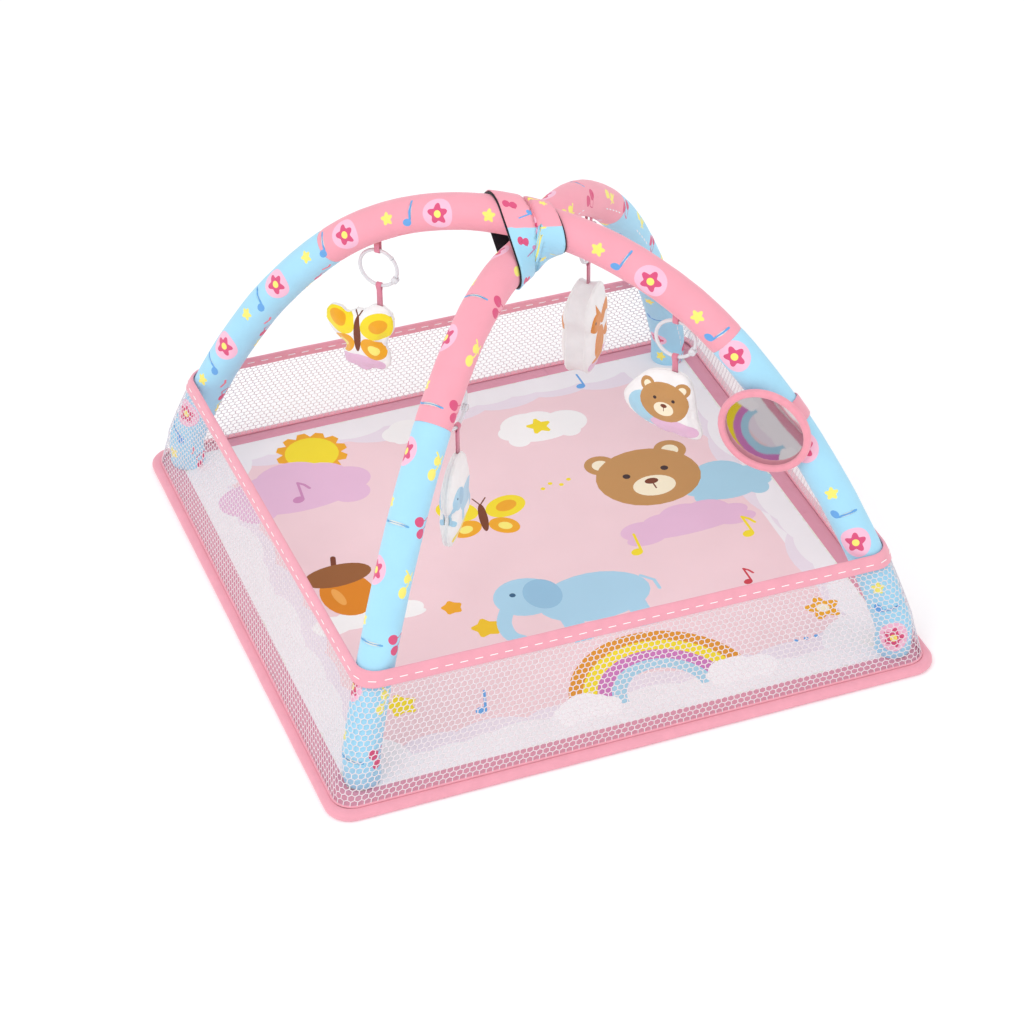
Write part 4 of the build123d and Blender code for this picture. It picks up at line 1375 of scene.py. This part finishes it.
BLOWN = {}
BLOWN = puff_up({name: closed_shape(toy) for name, toy in TOYS.items()})


def face_place(toy, outline, sign, tree):
    """Surface of one face: domed, gathered at the seam, and following the blown cloth."""
    border = np.array(outline)

    def place(u, v):
        d = float(np.sqrt(((border - np.array((u, v))) ** 2).sum(1)).min())
        wave = noise.noise(Vector((u * 0.06, v * 0.06, 4.0 * sign))) * 0.9 * min(1.0, d / 8.0)
        phase = math.atan2(v, u) * 34 + 3 * noise.noise(Vector((u * 0.1, v * 0.1, 0)))
        gather = 0.45 * math.sin(phase) * math.exp(-d / 5.0) * min(1.0, d / 1.5)
        z = toy.dome(d) + wave * 0.6 + gather
        if tree is not None and d > 1.0:
            hit = tree.ray_cast(Vector((u, v, sign * 80.0)) * MM, Vector((0, 0, -sign)))
            if hit[0] is not None:
                blown_z = hit[0].z * sign / MM
                k = min(1.0, (d - 1.0) / 7.0)
                k = k * k * (3 - 2 * k)
                z = z * (1 - k) + (blown_z + 0.5 * wave + 0.5 * gather) * k
        return toy.at(u, v, sign * z)

    return place


def with_normals(outline):
    """(u, v, outward u, outward v) for each point of an outline."""
    out = []
    for i, (u, v) in enumerate(outline):
        p0, p1 = outline[i - 1], outline[(i + 1) % len(outline)]
        tx, ty = p1[0] - p0[0], p1[1] - p0[1]
        k = math.hypot(tx, ty)
        out.append((u, v, ty / k, -tx / k))
    return out


def side_panel(name, toy, border):
    """Plain strip between the two faces."""
    rows = []
    for u, v, nu, nv in border:
        row = []
        for j in range(9):
            q = -1 + 2 * j / 8
            bulge = 1.6 * (1 - q * q) * toy.side_bulge
            bulge += 0.25 * noise.noise(Vector((u * 0.1, v * 0.1, q)))
            row.append(toy.at(u + nu * bulge, v + nv * bulge, q * toy.half * toy.gusset))
        rows.append(row)
    ob = build(f"toy_{name}_side_panel", [strip(rows, True, False)], PLUSH)
    layer = ob.data.color_attributes.new("Print", "FLOAT_COLOR", "CORNER")
    colours = np.tile(np.array(SIDE_WHITE, np.float32), len(ob.data.loops))
    layer.data.foreach_set("color", colours)
    return ob


def seams(name, toy, border):
    """Piping of radius 0.5 along both seams, 0.3 outside the outline."""
    parts = []
    for sign in (-1, 1):
        rows = []
        for u, v, nu, nv in border:
            rows.append([
                toy.at(u + nu * 0.5 * math.cos(a) + nu * 0.3,
                       v + nv * 0.5 * math.cos(a) + nv * 0.3,
                       sign * toy.half * toy.gusset + 0.5 * math.sin(a))
                for a in turns(6)
            ])
        parts.append(strip(rows, True, True))
    return build(f"toy_{name}_seams", parts, STUFFING)


def stuffed_core(name, toy, outline):
    """Lumpy stuffing, a little smaller than the cover."""
    rows = []
    for j in range(13):
        q = -1 + 2 * j / 12
        k = math.sqrt(max(0.0, 1 - abs(q) ** 3)) * 0.90
        row = []
        for u, v in outline[::3]:
            lump = 1 + 0.03 * noise.noise(Vector((u * 0.08, v * 0.08, q * 2)))
            row.append(toy.at(u * k * lump, v * k * lump, q * toy.half * 0.62))
        rows.append(row)
    return build(f"toy_{name}_stuffed_core", [capped(rows)], STUFFING)


for name, toy in TOYS.items():
    (_, arch_z), (slope_r, _) = toy.arch.at(toy.arch.s_of_r(toy.r))
    loop_z = arch_z - TUBE / abs(slope_r) - 13.4
    ring_z = loop_z - RING_RADIUS
    ribbon_z = ring_z - RING_RADIUS

    # webbing loop under the sleeve
    path = [(-TAPE_FOLD, 17.0), (-TAPE_FOLD, 8.0)] + arc(0, 0, TAPE_FOLD, 180, 360, 9)
    path += [(TAPE_FOLD, 8.0), (TAPE_FOLD, 17.0)]
    plane = hanging_plane(toy.arch, toy.r, loop_z)
    loop = build(f"webbing_loop_{name}", [tape(plane, path)], WEBBING)
    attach(loop, "arch_frame")
    if name == "mouse":
        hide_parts("toy_loops")

    # open ring with a collar and two cheeks at the joint and a catch at its free end
    plane = hanging_plane(toy.arch, toy.r, ring_z)
    parts = [
        wire(plane, 41, 325, 2.5), wire(plane, 318, 327, 3.3),
        joint_disc(plane, 1.6, 3.8, 5.0), joint_disc(plane, -3.8, -1.6, 5.0),
        wire(plane, 41, 47, 3.1),
    ]
    ring = build(f"plastic_ring_{name}", parts, WHITE_PLASTIC)
    fit(ring, f"ring_{name}", f"ring_{name}")
    # gate that closes the ring, with its eye, neck and pin
    parts = [
        wire(plane, JOINT_ANGLE + 10, 40, 2.45), joint_disc(plane, -1.35, 1.35, 4.6),
        wire(plane, -25, -17, 1.35), joint_disc(plane, -4.1, 4.1, 1.5),
    ]
    gate = build(f"plastic_gate_{name}", parts, WHITE_PLASTIC)
    fit(gate, f"gate_{name}", f"gate_{name}")

    # ribbon folded over the ring, its two ends going down into the toy
    path = [(0.75, -toy.drop - 4), (0.75, -9.0), (1.6, -6.0)]
    path += arc(0, 0, TAPE_FOLD, -30, 210, 12)
    path += [(-1.6, -6.0), (-0.75, -9.0), (-0.75, -toy.drop - 4)]
    plane = hanging_plane(toy.arch, toy.r, ribbon_z)
    ribbon = build(f"ribbon_{name}", [tape(plane, path)], WEBBING)
    fit(ribbon, f"toy_{name}_ribbon", f"toy_{name}")

    toy.hang(ribbon_z)
    outline = toy.outline(180)
    for sign, face in ((1, "front"), (-1, "back")):
        place = face_place(toy, outline, sign, BLOWN.get(name))
        panel = paint(f"toy_{name}_{face}_panel", outline, TOY_WHITE, toy.art, 2.6, place, PLUSH)
        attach(panel, f"toy_{name}")
        if sign > 0:
            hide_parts(f"toy_{name}_cover")
    border = with_normals(outline)
    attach(side_panel(name, toy, border), f"toy_{name}")
    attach(seams(name, toy, border), f"toy_{name}")
    fit(stuffed_core(name, toy, outline), f"toy_{name}_stuffing", f"toy_{name}")

# ------------------------------------------------------------------ mirror on arch A's right leg
MIRROR_X = Vector((0.65699, -0.60557, -0.44905))
MIRROR_Y = Vector((0.31265, -0.32314, 0.89321))
MIRROR_OUT = Vector((-0.68601, -0.72723, -0.02297))
MIRROR_R = 368.0
FILM_RADIUS = 53.6
# strap section: along the leg, radius
STRAP_PROFILE = [
    (-15, 25.2), (-15.2, 26.0), (-14.4, 26.9), (-8, 27.1), (0, 27.0), (8, 27.1), (14.4, 26.9),
    (15.2, 26.0), (15, 25.2), (8, 25.1), (0, 25.1), (-8, 25.1),
]
# hook patch section: along the leg, radius
PATCH_PROFILE = [(-15.6, 27.0), (-15.6, 28.2), (0, 28.3), (15.6, 28.2), (15.6, 27.0), (0, 26.9)]

leg_point, leg_dir, _, _ = ARCH_A.axes(ARCH_A.s_of_r(MIRROR_R))
# the strap's gap round the tube, its thickness and the mirror's clearance
mirror_lift = TUBE + 0.6 + 1.8 + 0.5
mirror_plane = Plane(
    leg_point - MIRROR_X * 12.6 - MIRROR_Y * 14.7 + MIRROR_OUT * mirror_lift,
    MIRROR_X, MIRROR_Y, MIRROR_OUT,
)
leg_out = (MIRROR_OUT - leg_dir * MIRROR_OUT.dot(leg_dir)).normalized()
leg_side = leg_dir.cross(leg_out)


def boxy(value):
    """Squares off a cosine or sine a little."""
    return math.copysign(abs(value) ** 0.8, value)


def round_leg(along, a, radius):
    return leg_point + leg_dir * along + (leg_out * math.cos(a) + leg_side * math.sin(a)) * radius


def mirror_frame():
    """Soft gathered ring, squarish in section."""
    rows = []
    for i, a in enumerate(turns(128)):
        row = []
        for b in turns(20):
            k = 1.0 + 0.03 * math.sin(i * 1.7) * math.cos(b * 2)
            radius = 58.0 + 5.0 * k * boxy(math.cos(b))
            z = 6.9 + 5.1 * k * boxy(math.sin(b))
            row.append(mirror_plane.at(radius * math.cos(a), radius * math.sin(a), z))
        rows.append(row)
    return build("mirror_soft_frame", [strip(rows, True, True)], MIRROR_CLOTH)


def mirror_disc():
    """Slightly domed film."""
    rows = []
    for k in range(13):
        radius = FILM_RADIUS * k / 12
        z = 7.0 + 2.2 * (1 - (radius / FILM_RADIUS) ** 2)
        rows.append([mirror_plane.at(radius * math.cos(a), radius * math.sin(a), z)
                     for a in turns(96)])
    return build("mirror_disc", [strip(rows, False, True)], MIRROR_FILM)


def leg_strap():
    rows = []
    for a in turns(72):
        row = []
        for along, radius in STRAP_PROFILE:
            spot = Vector((math.cos(a) * 2, math.sin(a) * 2, along * 0.1))
            row.append(round_leg(along, a, radius + 0.25 * noise.noise(spot)))
        rows.append(row)
    return build("mirror_leg_strap", [strip(rows, True, True)], TRIM)


def hook_patch():
    rows = []
    for i in range(17):
        a = math.radians(108 + 64 * i / 16)
        rows.append([round_leg(along, a, radius) for along, radius in PATCH_PROFILE])
    return build("mirror_strap_hook_patch", [capped(rows)], HOOK_TAPE)


fit(mirror_frame(), "mirror_frame", "mirror")
fit(mirror_disc(), "mirror_glass", "mirror")
finish_piece("mirror_backing", MIRROR_CLOTH)
fit(leg_strap(), "mirror_strap", "mirror")
fit(hook_patch(), "mirror_strap_fastener", "mirror")

# ------------------------------------------------------------------ floor and lights
bpy.ops.mesh.primitive_plane_add(size=30.0, location=(0, 0, 0))
floor = bpy.context.object
floor.name = "floor"
floor_material, _, floor_shader = new_material("floor")
set_inputs(floor_shader, Base_Color=(0.96, 0.96, 0.965, 1), Roughness=0.9,
           Specular_IOR_Level=0.1, Emission_Color=(1, 1, 1, 1), Emission_Strength=0.12)
floor.data.materials.append(floor_material)

world = bpy.data.worlds.new("studio")
bpy.context.scene.world = world
world.use_nodes = True
set_inputs(world.node_tree.nodes["Background"], Color=(1.0, 0.995, 1.0, 1), Strength=0.86)


def area_light(name, location, target, size, power):
    """Square light aimed at a target, in metres and watts."""
    light = bpy.data.lights.new(name, "AREA")
    light.energy = power
    light.size = size
    light.color = (1.0, 0.99, 0.98)
    ob = add_object(name, light)
    ob.location = location
    aim = Vector(target) - Vector(location)
    ob.rotation_euler = aim.to_track_quat("-Z", "Y").to_euler()


area_light("key", location=(-2.2, -1.6, 3.2), target=(0, 0, 0.1), size=2.2, power=42.0)
area_light("fill", location=(2.6, -2.4, 2.4), target=(0, 0, 0.2), size=2.6, power=12.0)

# ------------------------------------------------------------------ camera
CAMERA_AZIMUTH, CAMERA_ELEVATION, CAMERA_ROLL = (
    math.radians(d) for d in (-20.4372, 36.9728, -0.6684)
)
CAMERA_TARGET = Vector((12.2292, 90.171, 17.0)) * MM
CAMERA_DISTANCE = 4749.4962 * MM

back = Vector((
    math.sin(CAMERA_AZIMUTH) * math.cos(CAMERA_ELEVATION),
    -math.cos(CAMERA_AZIMUTH) * math.cos(CAMERA_ELEVATION),
    math.sin(CAMERA_ELEVATION),
))
level_right = (-back).cross(Vector((0, 0, 1))).normalized()
level_up = level_right.cross(-back)
right = level_right * math.cos(CAMERA_ROLL) + level_up * math.sin(CAMERA_ROLL)
up = level_up * math.cos(CAMERA_ROLL) - level_right * math.sin(CAMERA_ROLL)
camera_data = bpy.data.cameras.new("camera")
camera_data.sensor_width = 36.0
camera_data.lens = 118.98
camera = add_object("camera", camera_data)
camera_axes = Matrix((right, up, back)).transposed().to_4x4()
camera.matrix_world = Matrix.Translation(CAMERA_TARGET + back * CAMERA_DISTANCE) @ camera_axes
bpy.context.scene.camera = camera
bpy.context.scene.view_settings.view_transform = "Standard"
